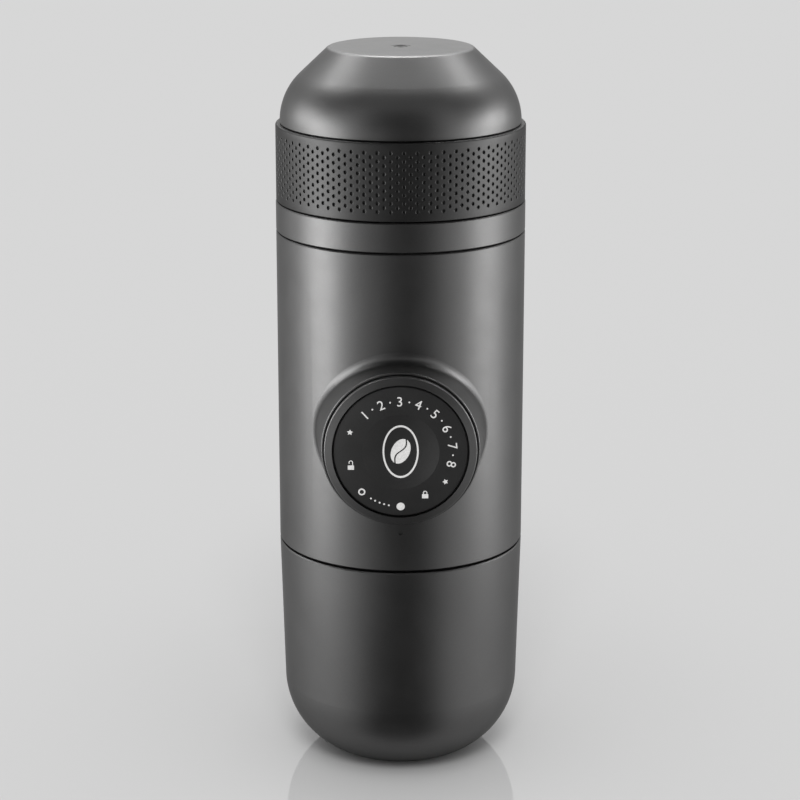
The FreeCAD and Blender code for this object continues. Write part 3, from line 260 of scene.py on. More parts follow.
def silicone():
    """Grey silicone, soft and slightly dusty."""
    rubber = Finish("silicone", Specular_IOR_Level=0.4, Sheen_Weight=0.3, Sheen_Roughness=0.5)
    bloom = rubber.noise(scale=140.0, detail=5.0, roughness=0.65)
    rubber.set("Base Color", rubber.blend(bloom, grey(0.20, 0.03), grey(0.30, 0.03)))
    rubber.set("Roughness", rubber.span(bloom, 0.3, 0.7, 0.5, 0.68))
    grain = rubber.noise(scale=2000.0, detail=3.0)
    rubber.set("Normal", rubber.relief(grain, depth=0.006 * MM, strength=0.6))
    return rubber.material


def valve_rubber():
    """Black rubber of the flap under the air valve."""
    rubber = Finish("valve_rubber", Specular_IOR_Level=0.4)
    bloom = rubber.noise(scale=300.0, detail=4.0, roughness=0.65)
    rubber.set("Base Color", rubber.blend(bloom, grey(0.05), grey(0.07)))
    rubber.set("Roughness", rubber.span(bloom, 0.3, 0.7, 0.5, 0.65))
    grain = rubber.noise(scale=2400.0, detail=3.0)
    rubber.set("Normal", rubber.relief(grain, depth=0.005 * MM, strength=0.6))
    return rubber.material


def drawn_wire():
    """Spring wire with fine drawing lines and a straw tint here and there."""
    wire = Finish("drawn_wire", Metallic=1.0)
    drawn = wire.stretched((300.0, 300.0, 9000.0))
    lines = wire.noise(scale=1.0, detail=3.0, roughness=0.6, place=drawn)
    tint = wire.noise(scale=220.0, detail=3.0)
    bright, straw = grey(0.56), grey(0.50, 0.05)
    wire.set("Base Color", wire.blend(wire.span(tint, 0.4, 0.7), bright, straw))
    wire.set("Roughness", wire.span(lines, 0.3, 0.7, 0.22, 0.38))
    wire.set("Normal", wire.relief(lines, depth=0.002 * MM, strength=0.5))
    return wire.material


LATHE_PITCH_MM = 0.11
PATINA_SHADE = 0.82
PATINA_ROUGHNESS = 0.12


def lathe_rings(metal, centre, axis):
    """Fine waves that go round an axis through centre, and also show on its end faces."""
    offset = metal.add("VectorMath", Vector=metal.place)
    offset.operation = "SUBTRACT"
    offset.inputs[1].default_value = centre
    flat = metal.add("VectorMath", Vector=offset.outputs["Vector"])
    flat.operation = "MULTIPLY"
    flat.inputs[1].default_value = tuple(0.0 if i == axis else 1.0 for i in range(3))
    span = metal.add("VectorMath", Vector=flat.outputs["Vector"])
    span.operation = "LENGTH"
    along = metal.add("SeparateXYZ", Vector=offset.outputs["Vector"])
    walk = metal.math("ADD", span.outputs["Value"], along.outputs[axis])
    return metal.math("SINE", metal.math("MULTIPLY", walk, TURN / (LATHE_PITCH_MM * MM)))


def turned_metal(name, color, roughness, centre, axis):
    """Metal turned on a lathe: fine rings round its own axis, with a faint patina."""
    metal = Finish(name, Metallic=1.0)
    patina = metal.noise(scale=180.0, detail=5.0, roughness=0.65)
    clean, aged = (*color, 1.0), (*[c * PATINA_SHADE for c in color], 1.0)
    metal.set("Base Color", metal.blend(metal.span(patina, 0.35, 0.7), clean, aged))
    metal.set("Roughness", metal.span(patina, 0.3, 0.7, roughness, roughness + PATINA_ROUGHNESS))
    rings = lathe_rings(metal, centre, axis)
    metal.set("Normal", metal.relief(rings, depth=0.0015 * MM, strength=0.5))
    return metal.material


def steel_on_pump_axis():
    return turned_metal("turned_steel", color=(0.56, 0.56, 0.57), roughness=0.24,
                        centre=KNOB_CENTRE, axis=1)


def brass_on_column_axis():
    return turned_metal("turned_brass", color=(0.62, 0.45, 0.20), roughness=0.26,
                        centre=middle("valve_column"), axis=2)


def formed_steel():
    """Small formed steel parts: screws, needles and the spout plate."""
    steel = Finish("formed_steel", Metallic=1.0)
    rub = steel.noise(scale=700.0, detail=4.0, roughness=0.6)
    steel.set("Base Color", steel.blend(rub, grey(0.46), grey(0.60)))
    steel.set("Roughness", steel.span(rub, 0.3, 0.7, 0.22, 0.36))
    steel.set("Normal", steel.relief(rub, depth=0.002 * MM, strength=0.5))
    return steel.material


def polished_ball():
    """Bright steel of the two valve balls."""
    ball = Finish("polished_ball", Metallic=1.0)
    haze = ball.noise(scale=900.0, detail=5.0, roughness=0.7)
    ball.set("Base Color", ball.blend(haze, grey(0.66), grey(0.72)))
    ball.set("Roughness", ball.span(haze, 0.35, 0.75, 0.05, 0.16))
    ball.set("Normal", ball.relief(haze, depth=0.0006 * MM, strength=0.4))
    return ball.material


FINISHES = {
    shell_coat: "cup body_shell collar_ring tank_dome air_valve",
    knob_coat: "knob_body",
    knob_face_coat: "knob_face_plate",
    chassis_plastic: "pump_frame guide_sleeve lock_ring cylinder_end_cap guide_bush piston_head"
                     " tank_floor_plate inlet_strainer inlet_duct outlet_duct inlet_plug"
                     " outlet_plug valve_column brew_head pump_cylinder",
    liner_plastic: "tank_liner neck_ring base_ring",
    head_plastic: "outlet_head_body outlet_spout capsule_holder",
    silicone: "tank_gasket tank_seal_ring cup_seal_ring brew_gasket piston_seal",
    valve_rubber: "air_valve_flap",
    steel_on_pump_axis: "piston_rod knob_screw",
    brass_on_column_axis: "inlet_valve_seat outlet_valve_seat",
    formed_steel: "frame_screws piercing_needles outlet_plate",
    polished_ball: "inlet_valve_ball outlet_valve_ball",
}


def wear_finish(piece, material):
    piece.data.materials.clear()
    piece.data.materials.append(material)


def finish_nodes():
    """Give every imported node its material, which nodes of one finish share."""
    for make_finish, names in FINISHES.items():
        material = make_finish()
        for name in names.split():
            wear_finish(NODES[name], material)


# ---------------------------------------------------------------- mesh pieces

def mesh_piece(name, points, faces, material, smooth=True):
    """New object with a mesh of these points and faces, linked to the scene."""
    mesh = bpy.data.meshes.new(name)
    mesh.from_pydata(points, [], faces)
    mesh.validate()
    if smooth:
        mesh.shade_smooth()
    mesh.update()
    piece = bpy.data.objects.new(name, mesh)
    bpy.context.scene.collection.objects.link(piece)
    wear_finish(piece, material)
    return piece


# ---------------------------------------------------------------- grip band

# Every second column of hollows is half a pitch off its neighbours and has one hollow fewer.
# A hollow's rings are pairs of radius and depth, and its cell has SIDE_STEPS faces on a side.
BAND_WALL_MM = 1.95
BAND_TOP_ROUND_MM = 0.5
BAND_LOW_ROUND_MM = 0.25
BAND_ROUND_STEPS = 5
DIMPLE_COLUMNS = 122
DIMPLE_PITCH_MM = 1.93
DIMPLE_ROWS = 8
DIMPLE_RINGS_MM = ((0.50, 0.0), (0.48, 0.0), (0.41, 0.03), (0.34, 0.09), (0.31, 0.42))
DIMPLE_DEPTH_MM = 0.5
DIMPLE_STRETCH = 1.15
SIDE_STEPS = 4
BAND_SHARP_ANGLE = 30.0


class BandMesh:
    """Points and faces of the band, with points shared by their place on the wall."""

    def __init__(self):
        self.points = []
        self.faces = []
        self.known = {}
        self.step_angle = TURN / (DIMPLE_COLUMNS * SIDE_STEPS)
        self.middle = (BAND_LOW + BAND_HIGH) / 2

    def point(self, angle, radius, z):
        self.points.append((radius * math.sin(angle), -radius * math.cos(angle), z))
        return len(self.points) - 1

    def wall(self, step, level):
        """Shared wall point at a whole angular step and a level counted in quarter pitches."""
        step %= DIMPLE_COLUMNS * SIDE_STEPS
        if (step, level) not in self.known:
            z = self.middle + level * DIMPLE_PITCH_MM / SIDE_STEPS * MM
            self.known[step, level] = self.point(step * self.step_angle, BAND_RADIUS, z)
        return self.known[step, level]

    def dimple(self, column, centre_level):
        """One cell of the pattern, with a small hollow sunk in its middle."""
        first, half = column * SIDE_STEPS, SIDE_STEPS // 2
        low, high = centre_level - half, centre_level + half
        loop = [self.wall(first + i, low) for i in range(SIDE_STEPS)]
        loop += [self.wall(first + SIDE_STEPS, low + i) for i in range(SIDE_STEPS)]
        loop += [self.wall(first + SIDE_STEPS - i, high) for i in range(SIDE_STEPS)]
        loop += [self.wall(first, high - i) for i in range(SIDE_STEPS)]
        angle = (first + half) * self.step_angle
        z = self.middle + centre_level * DIMPLE_PITCH_MM / SIDE_STEPS * MM
        count = len(loop)
        for ring_radius, depth in DIMPLE_RINGS_MM:
            ring = []
            for i in range(count):
                turn = TURN * (i - half) / count - TURN / 4
                across = ring_radius * MM * math.cos(turn)
                up = ring_radius * MM * DIMPLE_STRETCH * math.sin(turn)
                ring.append(self.point(angle + across / BAND_RADIUS, BAND_RADIUS - depth * MM,
                                       z + up))
            self.join(loop, ring)
            loop = ring
        bottom = self.point(angle, BAND_RADIUS - DIMPLE_DEPTH_MM * MM, z)
        for i in range(count):
            self.faces.append((loop[i], loop[(i + 1) % count], bottom))

    def join(self, outer, inner):
        """Faces between two closed rings of as many points."""
        count = len(outer)
        for i in range(count):
            following = (i + 1) % count
            self.faces.append((outer[i], outer[following], inner[following], inner[i]))

    def plain(self, column, low, high):
        """Undimpled stretch of one column between two levels."""
        first = column * SIDE_STEPS
        for level in range(low, high):
            for i in range(first, first + SIDE_STEPS):
                self.faces.append((self.wall(i, level), self.wall(i + 1, level),
                                   self.wall(i + 1, level + 1), self.wall(i, level + 1)))

    def ring(self, radius, z):
        return [self.point(i * self.step_angle, radius, z)
                for i in range(DIMPLE_COLUMNS * SIDE_STEPS)]


def rounded_rim(band, edge_z, radius, upward):
    """Rings of the rolled edge, from the wall inwards to the flat end face."""
    centre_z = edge_z - radius if upward else edge_z + radius
    rings = []
    for i in range(BAND_ROUND_STEPS + 1):
        turn = TURN / 4 * i / BAND_ROUND_STEPS
        rise = radius * math.sin(turn) * (1 if upward else -1)
        rings.append(band.ring(BAND_RADIUS - radius * (1 - math.cos(turn)), centre_z + rise))
    return rings


def dimple_columns(band, top_level):
    """The patterned wall, from -top_level to top_level."""
    margin = SIDE_STEPS // 2
    for column in range(DIMPLE_COLUMNS):
        rows = DIMPLE_ROWS - column % 2
        for row in range(rows):
            band.dimple(column, (2 * row - rows + 1) * SIDE_STEPS // 2)
        if column % 2:
            band.plain(column, top_level - margin, top_level)
            band.plain(column, -top_level, margin - top_level)


def close_band(band, top_level):
    """Both rims and the inner wall, from the edges of the pattern."""
    steps = range(DIMPLE_COLUMNS * SIDE_STEPS)
    above = rounded_rim(band, BAND_HIGH, BAND_TOP_ROUND_MM * MM, upward=True)
    below = rounded_rim(band, BAND_LOW, BAND_LOW_ROUND_MM * MM, upward=False)
    inner = BAND_RADIUS - BAND_WALL_MM * MM
    above.append(band.ring(inner, BAND_HIGH))
    below.append(band.ring(inner, BAND_LOW))
    upper = [[band.wall(i, top_level) for i in steps]] + above
    lower = [[band.wall(i, -top_level) for i in steps]] + below
    for nearer, further in zip(upper, upper[1:]):
        band.join(nearer, further)
    for nearer, further in zip(lower, lower[1:]):
        band.join(further, nearer)
    band.join(above[-1], below[-1])


def make_grip_band():
    band = BandMesh()
    top_level = DIMPLE_ROWS * SIDE_STEPS // 2
    dimple_columns(band, top_level)
    close_band(band, top_level)
    piece = mesh_piece("dimpled_grip_band", band.points, band.faces, band_coat())
    piece.data.set_sharp_from_angle(angle=math.radians(BAND_SHARP_ANGLE))
    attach(piece, "tank")
    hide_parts("grip_band")


# ---------------------------------------------------------------- springs

SPRING_RING_POINTS = 10
SPRING_TURN_POINTS = 40
CLOSED_END_TURNS = 0.75


def coil_path(low, high, mean, wire, turns):
    """Centre line of a coil round +Z, whose end turns close up on their neighbours."""
    count = int(turns * SPRING_TURN_POINTS)
    bottom, top = low + wire, high - wire
    lead_in = CLOSED_END_TURNS
    for i in range(count + 1):
        turn = turns * i / count
        eased = turn
        if turn < lead_in:
            eased = lead_in / 2 + turn * turn / (2 * lead_in)
        elif turn > turns - lead_in:
            left = turns - turn
            eased = turns - lead_in / 2 - left * left / (2 * lead_in)
        share = (eased - lead_in / 2) / (turns - lead_in)
        angle = turn * TURN
        height = bottom + share * (top - bottom)
        yield Vector((mean * math.cos(angle), mean * math.sin(angle), height))


def wire_points(path, wire, placed):
    """Rings of points round the path, moved by the matrix placed."""
    for i, spot in enumerate(path):
        ahead = path[min(i + 1, len(path) - 1)] - path[max(i - 1, 0)]
        out = Vector((spot.x, spot.y, 0)).normalized()
        tangent = ahead.normalized()
        side = tangent.cross(out).normalized()
        for k in range(SPRING_RING_POINTS):
            turn = TURN * k / SPRING_RING_POINTS
            offset = out * math.cos(turn) * wire + side * math.sin(turn) * wire
            yield placed @ (spot + offset)


def wire_faces(rings):
    """Faces along the rings of points, and one face over each end."""
    for i in range(rings - 1):
        start = i * SPRING_RING_POINTS
        for k in range(SPRING_RING_POINTS):
            along = (k + 1) % SPRING_RING_POINTS
            yield (start + k, start + along, start + SPRING_RING_POINTS + along,
                   start + SPRING_RING_POINTS + k)
    last = (rings - 1) * SPRING_RING_POINTS
    yield tuple(reversed(range(SPRING_RING_POINTS)))
    yield tuple(range(last, last + SPRING_RING_POINTS))


def make_spring(node, name, placed, ends, width, wire, pitch):
    """placed is the matrix from the coil's own axis, along +Z, to the row frame; ends are its
    two heights there, and wire is the wire's radius."""
    low, high = ends
    path = list(coil_path(low, high, width / 2 - wire, wire, (high - low) / pitch))
    points = list(wire_points(path, wire, placed))
    faces = list(wire_faces(len(path)))
    piece = mesh_piece(name, points, faces, WIRE)
    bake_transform(piece)
    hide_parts(node)


WIRE = drawn_wire()
RETURN_SPRING_WIRE_MM = 0.5
RETURN_SPRING_PITCH_MM = 2.1
VALVE_SPRING_WIRE_MM = 0.28
VALVE_SPRING_PITCH_MM = 1.0


def make_return_spring():
    """Coil round the piston rod, between the body and the piston; its own +Z is -Y here."""
    low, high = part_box("return_spring")
    laid_down = Matrix.Rotation(TURN / 4, 4, "X")
    placed = Matrix.Translation((0, 0, middle("return_spring").z)) @ laid_down
    make_spring("return_spring", "return_spring_coil", placed, (-high.y, -low.y), high.x - low.x,
                RETURN_SPRING_WIRE_MM * MM, RETURN_SPRING_PITCH_MM * MM)


def make_valve_spring(node):
    """Upright coil under a valve's ball, which it holds up against its seat."""
    low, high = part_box(node)
    centre = middle(node)
    placed = Matrix.Translation((centre.x, centre.y, 0))
    make_spring(node, node + "_coil", placed, (low.z, high.z), high.x - low.x,
                VALVE_SPRING_WIRE_MM * MM, VALVE_SPRING_PITCH_MM * MM)


# ---------------------------------------------------------------- print on the knob

INK_PROUD_MM = 0.02
INK_BURIED_MM = 0.05
INK_WELD_MM = 0.002
AHEAD_OF_KNOB_MM = 10.0
PRINT_RADIUS_MM = 13.1
LOCK_DOT_MM = 0.95
LOCK_DOT_ANGLE = 180.0
OPEN_RING_MM = (0.5, 0.84)
OPEN_RING_ANGLE = -137.0
SMALL_DOT_MM = 0.22
SMALL_DOT_ANGLES = (-168.0, -163.1, -158.3, -153.4, -148.5)
STAR_MM = (0.72, 0.36)
STAR_RADIUS_MM = 12.5
STAR_ANGLES = (-68.0, 124.7)
STAR_CORNERS = 10
DIAL_NUMBERS = 8
DIAL_START, DIAL_END = -43.0, 104.0
DIAL_FOOT_MM = 10.9
DIGIT_HEIGHT_MM = 2.2
DIGIT_SHARE_OF_FONT = 0.7
DIGIT_CURVE_STEPS = 4
DIAL_DOT_MM = 0.2
PADLOCK_ANGLES = {"closed": 152.0, "open": -108.0}
PADLOCK_BODY_MM = (0.72, 0.52)
SHACKLE_MM = (0.3, 0.5)
SHACKLE_LEG_MM = 0.3
SHACKLE_LIFT_MM = 0.4
SHACKLE_STEPS = 12
EMBLEM_FRAME_MM = ((3.75, 5.85), (4.15, 6.3))
BEAN_MM = (2.1, 3.1)
BEAN_TILT = 24.0
BEAN_CREASE_MM = 0.34
BEAN_WAVE_MM = 0.6
BEAN_TIP_SHARE = 0.985
BEAN_STEPS = 26
BEAN_LAYERS = 6
CIRCLE_STEPS = 28
DOT_STEPS = 12
OVAL_STEPS = 64


class KnobFace:
    """The front of the knob as a flat drawing: x to the right, z up, in millimetres."""

    def __init__(self):
        self.surface = BVHTree.FromObject(NODES["knob_face_plate"],
                                          bpy.context.evaluated_depsgraph_get())
        self.ink = print_ink()

    def on_surface(self, x, z, proud):
        """Point of the knob's face at a drawing point, raised by proud millimetres."""
        start = KNOB_CENTRE + Vector((x * MM, -AHEAD_OF_KNOB_MM * MM, z * MM))
        hit = self.surface.ray_cast(start, Vector((0, 1, 0)))[0]
        return (hit.x, hit.y - proud * MM, hit.z)

    def patch(self, name, rows, wrapped=True):
        """A closed print of even thickness from rows of drawing points; wrapped rows close up."""
        rows = [list(row) for row in rows]
        points = [self.on_surface(x, z, INK_PROUD_MM) for row in rows for x, z in row]
        points += [self.on_surface(x, z, -INK_BURIED_MM) for row in rows for x, z in row]
        faces = list(patch_faces(len(rows), len(rows[0]), wrapped))
        piece = mesh_piece(name, points, faces, self.ink, smooth=False)
        clean_mesh(piece.data)
        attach(piece, "knob")


def patch_faces(count, width, wrapped):
    """Front, back and walls of a grid whose back points follow its front ones."""
    back = count * width
    columns = width if wrapped else width - 1
    for row in range(count - 1):
        start = row * width
        for column in range(columns):
            here, beside = start + column, start + (column + 1) % width
            quad = (here, beside, beside + width, here + width)
            yield quad
            yield tuple(back + i for i in reversed(quad))
    top = (count - 1) * width
    for column in range(columns):
        here, beside = column, (column + 1) % width
        yield (beside, here, back + here, back + beside)
        yield (top + here, top + beside, back + top + beside, back + top + here)
    if not wrapped:
        for row in range(count - 1):
            here, above = row * width, (row + 1) * width
            yield (here, above, back + above, back + here)
            here, above = here + width - 1, above + width - 1
            yield (above, here, back + here, back + above)


def clean_mesh(mesh):
    """Weld points that coincide, and turn every face outwards."""
    work = bmesh.new()
    work.from_mesh(mesh)
    bmesh.ops.remove_doubles(work, verts=work.verts, dist=INK_WELD_MM * MM)
    bmesh.ops.recalc_face_normals(work, faces=work.faces)
    work.to_mesh(mesh)
    work.free()


def polar(angle, radius):
    """Drawing point at an angle clockwise from the top of the knob."""
    turn = math.radians(angle)
    return radius * math.sin(turn), radius * math.cos(turn)


def round_rows(centre, radii, segments=CIRCLE_STEPS):
    """Circles round one centre: they fill a dot if the first radius is 0, and else a ring."""
    for radius in radii:
        yield [(centre[0] + radius * math.cos(TURN * i / segments),
                centre[1] + radius * math.sin(TURN * i / segments)) for i in range(segments)]


def star_rows(centre, outer, inner, lean):
    """A star with every second corner drawn in, turned clockwise by lean degrees."""
    for share in (0.0, 0.5, 1.0):
        row = []
        for i in range(STAR_CORNERS):
            radius = (outer if i % 2 == 0 else inner) * share
            turn = math.radians(lean) + TURN * i / STAR_CORNERS
            row.append((centre[0] + radius * math.sin(turn), centre[1] + radius * math.cos(turn)))
        yield row


def oval_rows(outlines):
    for half_width, half_height in outlines:
        yield [(half_width * math.cos(TURN * i / OVAL_STEPS),
                half_height * math.sin(TURN * i / OVAL_STEPS)) for i in range(OVAL_STEPS)]


def box_rows(centre, half_width, half_height):
    for up in (-half_height, half_height):
        yield [(centre[0] + across, centre[1] + up) for across in (-half_width, half_width)]


def shackle_rows(centre, foot, legs):
    """Bow of a padlock: a half ring on two legs of the given lengths."""
    for radius in SHACKLE_MM:
        row = [(centre[0] + radius, foot - legs[1])]
        for i in range(SHACKLE_STEPS + 1):
            turn = math.pi * i / SHACKLE_STEPS
            row.append((centre[0] + radius * math.cos(turn), foot + radius * math.sin(turn)))
        row.append((centre[0] - radius, foot - legs[0]))
        yield row


def bean_rows(side):
    """Half a coffee bean: from the wavy crease out to the rim, tilted on the knob."""
    half_width, half_height = BEAN_MM
    tilt = math.radians(BEAN_TILT)
    limit = half_height * BEAN_TIP_SHARE
    for layer in range(BEAN_LAYERS + 1):
        share = layer / BEAN_LAYERS
        row = []
        for i in range(BEAN_STEPS + 1):
            up = -limit + 2 * limit * i / BEAN_STEPS
            rim = half_width * math.sqrt(1 - (up / half_height) ** 2)
            wave = BEAN_WAVE_MM * math.sin(math.pi * up / half_height)
            crease = wave + side * BEAN_CREASE_MM / 2
            edge = side * rim
            crease = min(crease, edge) if side > 0 else max(crease, edge)
            across = crease + (edge - crease) * share
            row.append((across * math.cos(tilt) + up * math.sin(tilt),
                        -across * math.sin(tilt) + up * math.cos(tilt)))
        yield row


def make_knob_print():
    """Plain marks round the knob's face, a dial of numbers and a coffee bean in an oval."""
    face = KnobFace()
    lock_place = polar(LOCK_DOT_ANGLE, PRINT_RADIUS_MM)
    lock_rows = round_rows(lock_place, (0, LOCK_DOT_MM / 2, LOCK_DOT_MM))
    face.patch("print_locked_dot", lock_rows)
    ring_place = polar(OPEN_RING_ANGLE, PRINT_RADIUS_MM)
    face.patch("print_open_ring", round_rows(ring_place, OPEN_RING_MM))
    for i, angle in enumerate(SMALL_DOT_ANGLES):
        dot_rows = round_rows(polar(angle, PRINT_RADIUS_MM), (0, SMALL_DOT_MM), DOT_STEPS)
        face.patch("print_small_dot_%d" % i, dot_rows)
    for i, angle in enumerate(STAR_ANGLES):
        star = star_rows(polar(angle, STAR_RADIUS_MM), *STAR_MM, angle)
        face.patch("print_star_%d" % i, star)
    face.patch("print_emblem_frame", oval_rows(EMBLEM_FRAME_MM))
    face.patch("print_bean_left", bean_rows(-1), wrapped=False)
    face.patch("print_bean_right", bean_rows(1), wrapped=False)
    make_padlocks(face)
    make_dial(face)


def make_padlocks(face):
    """Closed and open padlock beside the locked dot and the open ring."""
    for state, angle in PADLOCK_ANGLES.items():
        centre = polar(angle, PRINT_RADIUS_MM - DIGIT_HEIGHT_MM / 2)
        top = centre[1] + PADLOCK_BODY_MM[1]
        lift = SHACKLE_LIFT_MM if state == "open" else 0.0
        legs = (SHACKLE_LEG_MM, SHACKLE_LEG_MM + lift)
        bow = shackle_rows(centre, top + SHACKLE_LEG_MM + lift, legs)
        face.patch("print_padlock_%s" % state, box_rows(centre, *PADLOCK_BODY_MM), wrapped=False)
        face.patch("print_shackle_%s" % state, bow, wrapped=False)


def make_dial(face):
    """Plain numbers round the upper right of the knob, with a dot between neighbours."""
    gap = (DIAL_END - DIAL_START) / (DIAL_NUMBERS - 1)
    for i in range(DIAL_NUMBERS):
        make_digit(face, i + 1, DIAL_START + gap * i)
    for i in range(DIAL_NUMBERS - 1):
        spot = polar(DIAL_START + gap * (i + 0.5), DIAL_FOOT_MM + DIGIT_HEIGHT_MM / 2)
        dot_rows = round_rows(spot, (0, DIAL_DOT_MM), DOT_STEPS)
        face.patch("print_dial_dot_%d" % (i + 1), dot_rows)


def make_digit(face, number, angle):
    """One plain number that stands on the dial's circle and follows the knob's face."""
    text = bpy.data.curves.new("digit", "FONT")
    text.body = str(number)
    text.size = DIGIT_HEIGHT_MM * MM / DIGIT_SHARE_OF_FONT
    text.align_x = "CENTER"
    text.extrude = INK_BURIED_MM * MM
    text.resolution_u = DIGIT_CURVE_STEPS
    holder = bpy.data.objects.new("digit", text)
    bpy.context.scene.collection.objects.link(holder)
    mesh = bpy.data.meshes.new_from_object(holder.evaluated_get(
        bpy.context.evaluated_depsgraph_get()))
    bpy.data.objects.remove(holder)
    foot = Vector((*polar(angle, DIAL_FOOT_MM), 0.0))
    mesh.transform(Matrix.Rotation(math.radians(-angle), 4, "Z"))
    for vertex in mesh.vertices:
        flat = vertex.co / MM + foot
        proud = INK_PROUD_MM if vertex.co.z > 0 else -INK_BURIED_MM
        vertex.co = face.on_surface(flat.x, flat.y, proud)
    piece = bpy.data.objects.new("print_number_%d" % number, mesh)
    bpy.context.scene.collection.objects.link(piece)
    wear_finish(piece, face.ink)
    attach(piece, "knob")


# ---------------------------------------------------------------- studio

# The view is from in front, about 16 degrees down, through a long lens.
CAMERA_PLACE = (0.0, -0.58325, 0.25385)
CAMERA_DOWN = 15.825
CAMERA_LENS = 111.57
CAMERA_SHIFT = -0.0008
CAMERA_CLIP = 0.01
WORLD_TONE = 0.68


def make_camera():
    lens = bpy.data.cameras.new("camera")
    lens.lens = CAMERA_LENS
    lens.shift_x = CAMERA_SHIFT
    lens.clip_start = CAMERA_CLIP
    camera = bpy.data.objects.new("camera", lens)
    camera.location = CAMERA_PLACE
    camera.rotation_euler = (math.radians(90 - CAMERA_DOWN), 0, 0)
    bpy.context.scene.collection.objects.link(camera)
    bpy.context.scene.camera = camera


def make_world():
    """Even pale surroundings."""
    world = bpy.data.worlds.new("studio")
    world.use_nodes = True
    world.node_tree.nodes["Background"].inputs["Color"].default_value = grey(WORLD_TONE)
    bpy.context.scene.world = world


FLOOR_SIZE = 12.0
FLOOR_DROP = 0.0001
FLOOR_TONE = 0.6
FLOOR_CLOUDING = 0.005
FLOOR_ROUGHNESS = 0.7
FLOOR_MIRROR = 0.17
MIRROR_ROUGHNESS = 0.03
MIRROR_REACH = (0.05, 0.08)
WEDGE_SLANT = (0.35, 0.95)
WEDGE_EDGE = 0.006
WEDGE_TIP = 0.001
CARD_GREY = 0.045
CARD_HALF_WIDTH = 0.36
CARD_FAR_Y = -0.5
CARD_NEAR_Y = -0.028
CARD_TOP = 0.62
HOOD_HALF_WIDTH = 0.6
HOOD_FRONT_Y = -0.36
HOOD_BACK_Y = 0.1
HOOD_FLAP_LOW = 0.3


def dark_wedge(floor, spot):
    """Share of the floor in front of the object that is painted dark for reflected rays only: a
    painted dark reflection that gives the shiny pieces their dark middle.
    """
    ahead = floor.math("MAXIMUM", floor.math("MULTIPLY", spot.outputs["Y"], -1.0), WEDGE_TIP)
    slant = floor.math("DIVIDE", floor.math("ABSOLUTE", spot.outputs["X"]), ahead)
    wedge = floor.span(slant, *WEDGE_SLANT, 1.0, 0.0)
    near = floor.span(spot.outputs["Y"], CARD_NEAR_Y - WEDGE_EDGE, CARD_NEAR_Y, 1.0, 0.0)
    mirrored = floor.add("LightPath").outputs["Is Glossy Ray"]
    return floor.math("MULTIPLY", floor.math("MULTIPLY", wedge, near), mirrored)


def polish_near_object(floor, spot):
    """Mix in a weak clear mirror, which fades out away from the object."""
    mirror = floor.add("BsdfGlossy", Roughness=MIRROR_ROUGHNESS, Color=grey(1.0))
    squares = [floor.math("POWER", spot.outputs[axis], 2.0) for axis in "XY"]
    away = floor.math("SQRT", floor.math("ADD", *squares))
    share = floor.span(away, *MIRROR_REACH, FLOOR_MIRROR, 0.0)
    mixed = floor.add("MixShader", Fac=share)
    floor.links.new(floor.shader.outputs[0], mixed.inputs[1])
    floor.links.new(mirror.outputs[0], mixed.inputs[2])
    floor.links.new(mixed.outputs[0], floor.nodes["Material Output"].inputs["Surface"])


def floor_finish():
    """Pale satin floor, polished where the object stands, with a painted dark reflection in front
    of the object that only reflected rays see.
    """
    floor = Finish("floor_finish", Roughness=FLOOR_ROUGHNESS, Specular_IOR_Level=0.0)
    cloud = floor.noise(scale=6.0)
    pale = floor.blend(cloud, grey(FLOOR_TONE * (1 - FLOOR_CLOUDING)), grey(FLOOR_TONE))
    spot = floor.add("SeparateXYZ", Vector=floor.place)
    # Painted reflection: in front of the object the floor's colour goes dark for reflected rays
    # only.
    floor.set("Base Color", floor.blend(dark_wedge(floor, spot), pale, grey(CARD_GREY)))
    polish_near_object(floor, spot)
    return floor.material


def make_floor():
    half = FLOOR_SIZE / 2
    corners = [(-half, -half, 0), (half, -half, 0), (half, half, 0), (-half, half, 0)]
    plate = mesh_piece("floor", corners, [(0, 1, 2, 3)], floor_finish(), smooth=False)
    plate.location.z = -FLOOR_DROP
    return plate


# Side boxes come in mirrored pairs, and their two glows are the left and the right one's.
SIDE_BOXES = {
    "low": {"place": (0.25, -0.06, 0.105), "aim": (0, -0.06, 0.105), "size": (0.13, 0.21),
            "swing": 4.0, "glow": (13.7, 9.4)},
    "hind": {"place": (0.25, 0.03, 0.19), "aim": (0, 0.03, 0.19), "size": (0.12, 0.08),
             "swing": 0.0, "glow": (13.5, 13.5)},
    "high": {"place": (0.22, 0.155, 0.49), "aim": (0, 0, 0.165), "size": (0.16, 0.10),
             "swing": 0.0, "glow": (24.5, 23.5)},
}
MIDDLE_BOXES = {
    "front": {"place": (0, -0.31, 0.09), "aim": (0, 0, 0.09), "size": (0.05, 0.18),
              "swing": -21.0, "glow": (2.0,)},
    "crown": {"place": (0, 0.155, 0.55), "aim": (0, 0, 0.165), "size": (0.28, 0.10),
              "swing": 0.0, "glow": (50.0,)},
    "rear": {"place": (0, 0.5, 0.5), "aim": (0, 0, 0.175), "size": (0.5, 0.4),
             "swing": 0.0, "glow": (7.5,)},
}
OVERHEAD = {"strength": 0.76, "spread": 50.0, "lean": 15.0}
FLOOR_OVERHEAD = {"strength": 0.9, "spread": 20.0, "lean": 40.0}


def make_lamp(name, box, side=0):
    """Area lamp from its settings; side picks left (0) or right (1) in a mirrored pair.
    Glow is watts for each square metre of its face, and swing turns it about the object."""
    lamp = bpy.data.lights.new(name, "AREA")
    lamp.shape = "RECTANGLE"
    lamp.size, lamp.size_y = box["size"]
    lamp.energy = box["glow"][side] * lamp.size * lamp.size_y
    holder = bpy.data.objects.new(name, lamp)
    place = Vector(box["place"])
    place.x *= 1 if side else -1
    swing = Matrix.Rotation(math.radians(box["swing"]), 3, "Z")
    holder.location = swing @ place
    facing = swing @ (Vector(box["aim"]) - place)
    holder.rotation_euler = facing.to_track_quat("-Z", "Y").to_euler()
    holder.visible_camera = False
    bpy.context.scene.collection.objects.link(holder)
    return holder


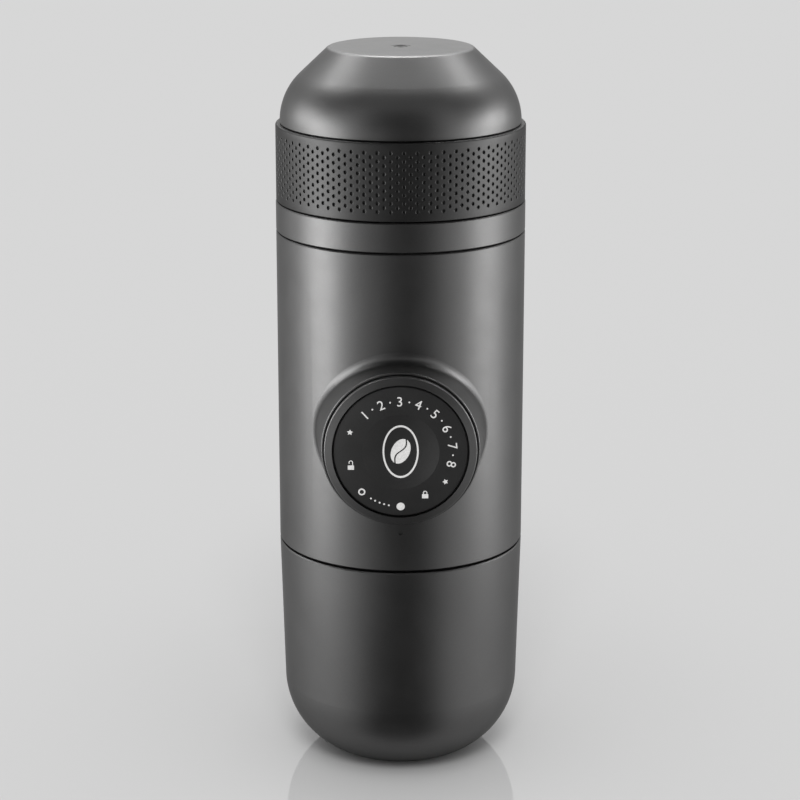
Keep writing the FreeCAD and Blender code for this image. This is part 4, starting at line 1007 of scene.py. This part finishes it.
def make_softboxes(floor):
    """Softboxes at the sides, rear and top, which leave the floor alone."""
    spared = bpy.data.collections.new("softboxes_spare")
    spared.objects.link(floor)
    spared.collection_objects[0].light_linking.link_state = "EXCLUDE"
    boxes = [make_lamp(name + "_softbox", box) for name, box in MIDDLE_BOXES.items()]
    for side, side_name in enumerate(("left", "right")):
        for box_name, box in SIDE_BOXES.items():
            boxes.append(make_lamp("%s_%s_softbox" % (side_name, box_name), box, side))
    for lamp in boxes:
        lamp.light_linking.receiver_collection = spared


def make_sun(name, settings):
    """Light from above, leaning to the front, which shiny pieces don't mirror."""
    sun = bpy.data.lights.new(name, "SUN")
    sun.energy = settings["strength"]
    sun.angle = math.radians(settings["spread"])
    holder = bpy.data.objects.new(name, sun)
    holder.rotation_euler = (math.radians(settings["lean"]), 0, 0)
    holder.visible_glossy = False
    bpy.context.scene.collection.objects.link(holder)
    return holder


def make_overhead(floor):
    """Broad light over everything, and a closer one for the floor alone, so that the object
    darkens the floor only near its foot."""
    make_sun("overhead", OVERHEAD)
    lit = bpy.data.collections.new("floor_only")
    lit.objects.link(floor)
    make_sun("floor_overhead", FLOOR_OVERHEAD).light_linking.receiver_collection = lit


def make_card():
    """Dark card in front of the object and a dark hood over it, seen only in reflections, for
    the dark middle of the shiny pieces."""
    card = Finish("dark_card", Base_Color=grey(CARD_GREY), Specular_IOR_Level=0.0)
    half, hood = CARD_HALF_WIDTH, HOOD_HALF_WIDTH
    points = [(x, CARD_FAR_Y, z) for x in (-half, half) for z in (0, CARD_TOP)]
    points += [(x, y, z) for x in (-hood, hood) for y in (HOOD_FRONT_Y, HOOD_BACK_Y)
               for z in (HOOD_FLAP_LOW, CARD_TOP)]
    faces = [(0, 2, 3, 1), (4, 6, 7, 5), (5, 7, 11, 9), (8, 9, 11, 10)]
    piece = mesh_piece("dark_card", points, faces, card.material, smooth=False)
    piece.visible_camera = False
    piece.visible_diffuse = False
    piece.visible_shadow = False
    piece.visible_transmission = False


# ---------------------------------------------------------------- the scene

make_camera()
finish_nodes()
make_grip_band()
make_return_spring()
make_valve_spring("inlet_valve_spring")
make_valve_spring("outlet_valve_spring")
make_knob_print()
make_world()
studio_floor = make_floor()
make_softboxes(studio_floor)
make_overhead(studio_floor)
make_card()

bpy.context.scene.view_settings.view_transform = "Standard"
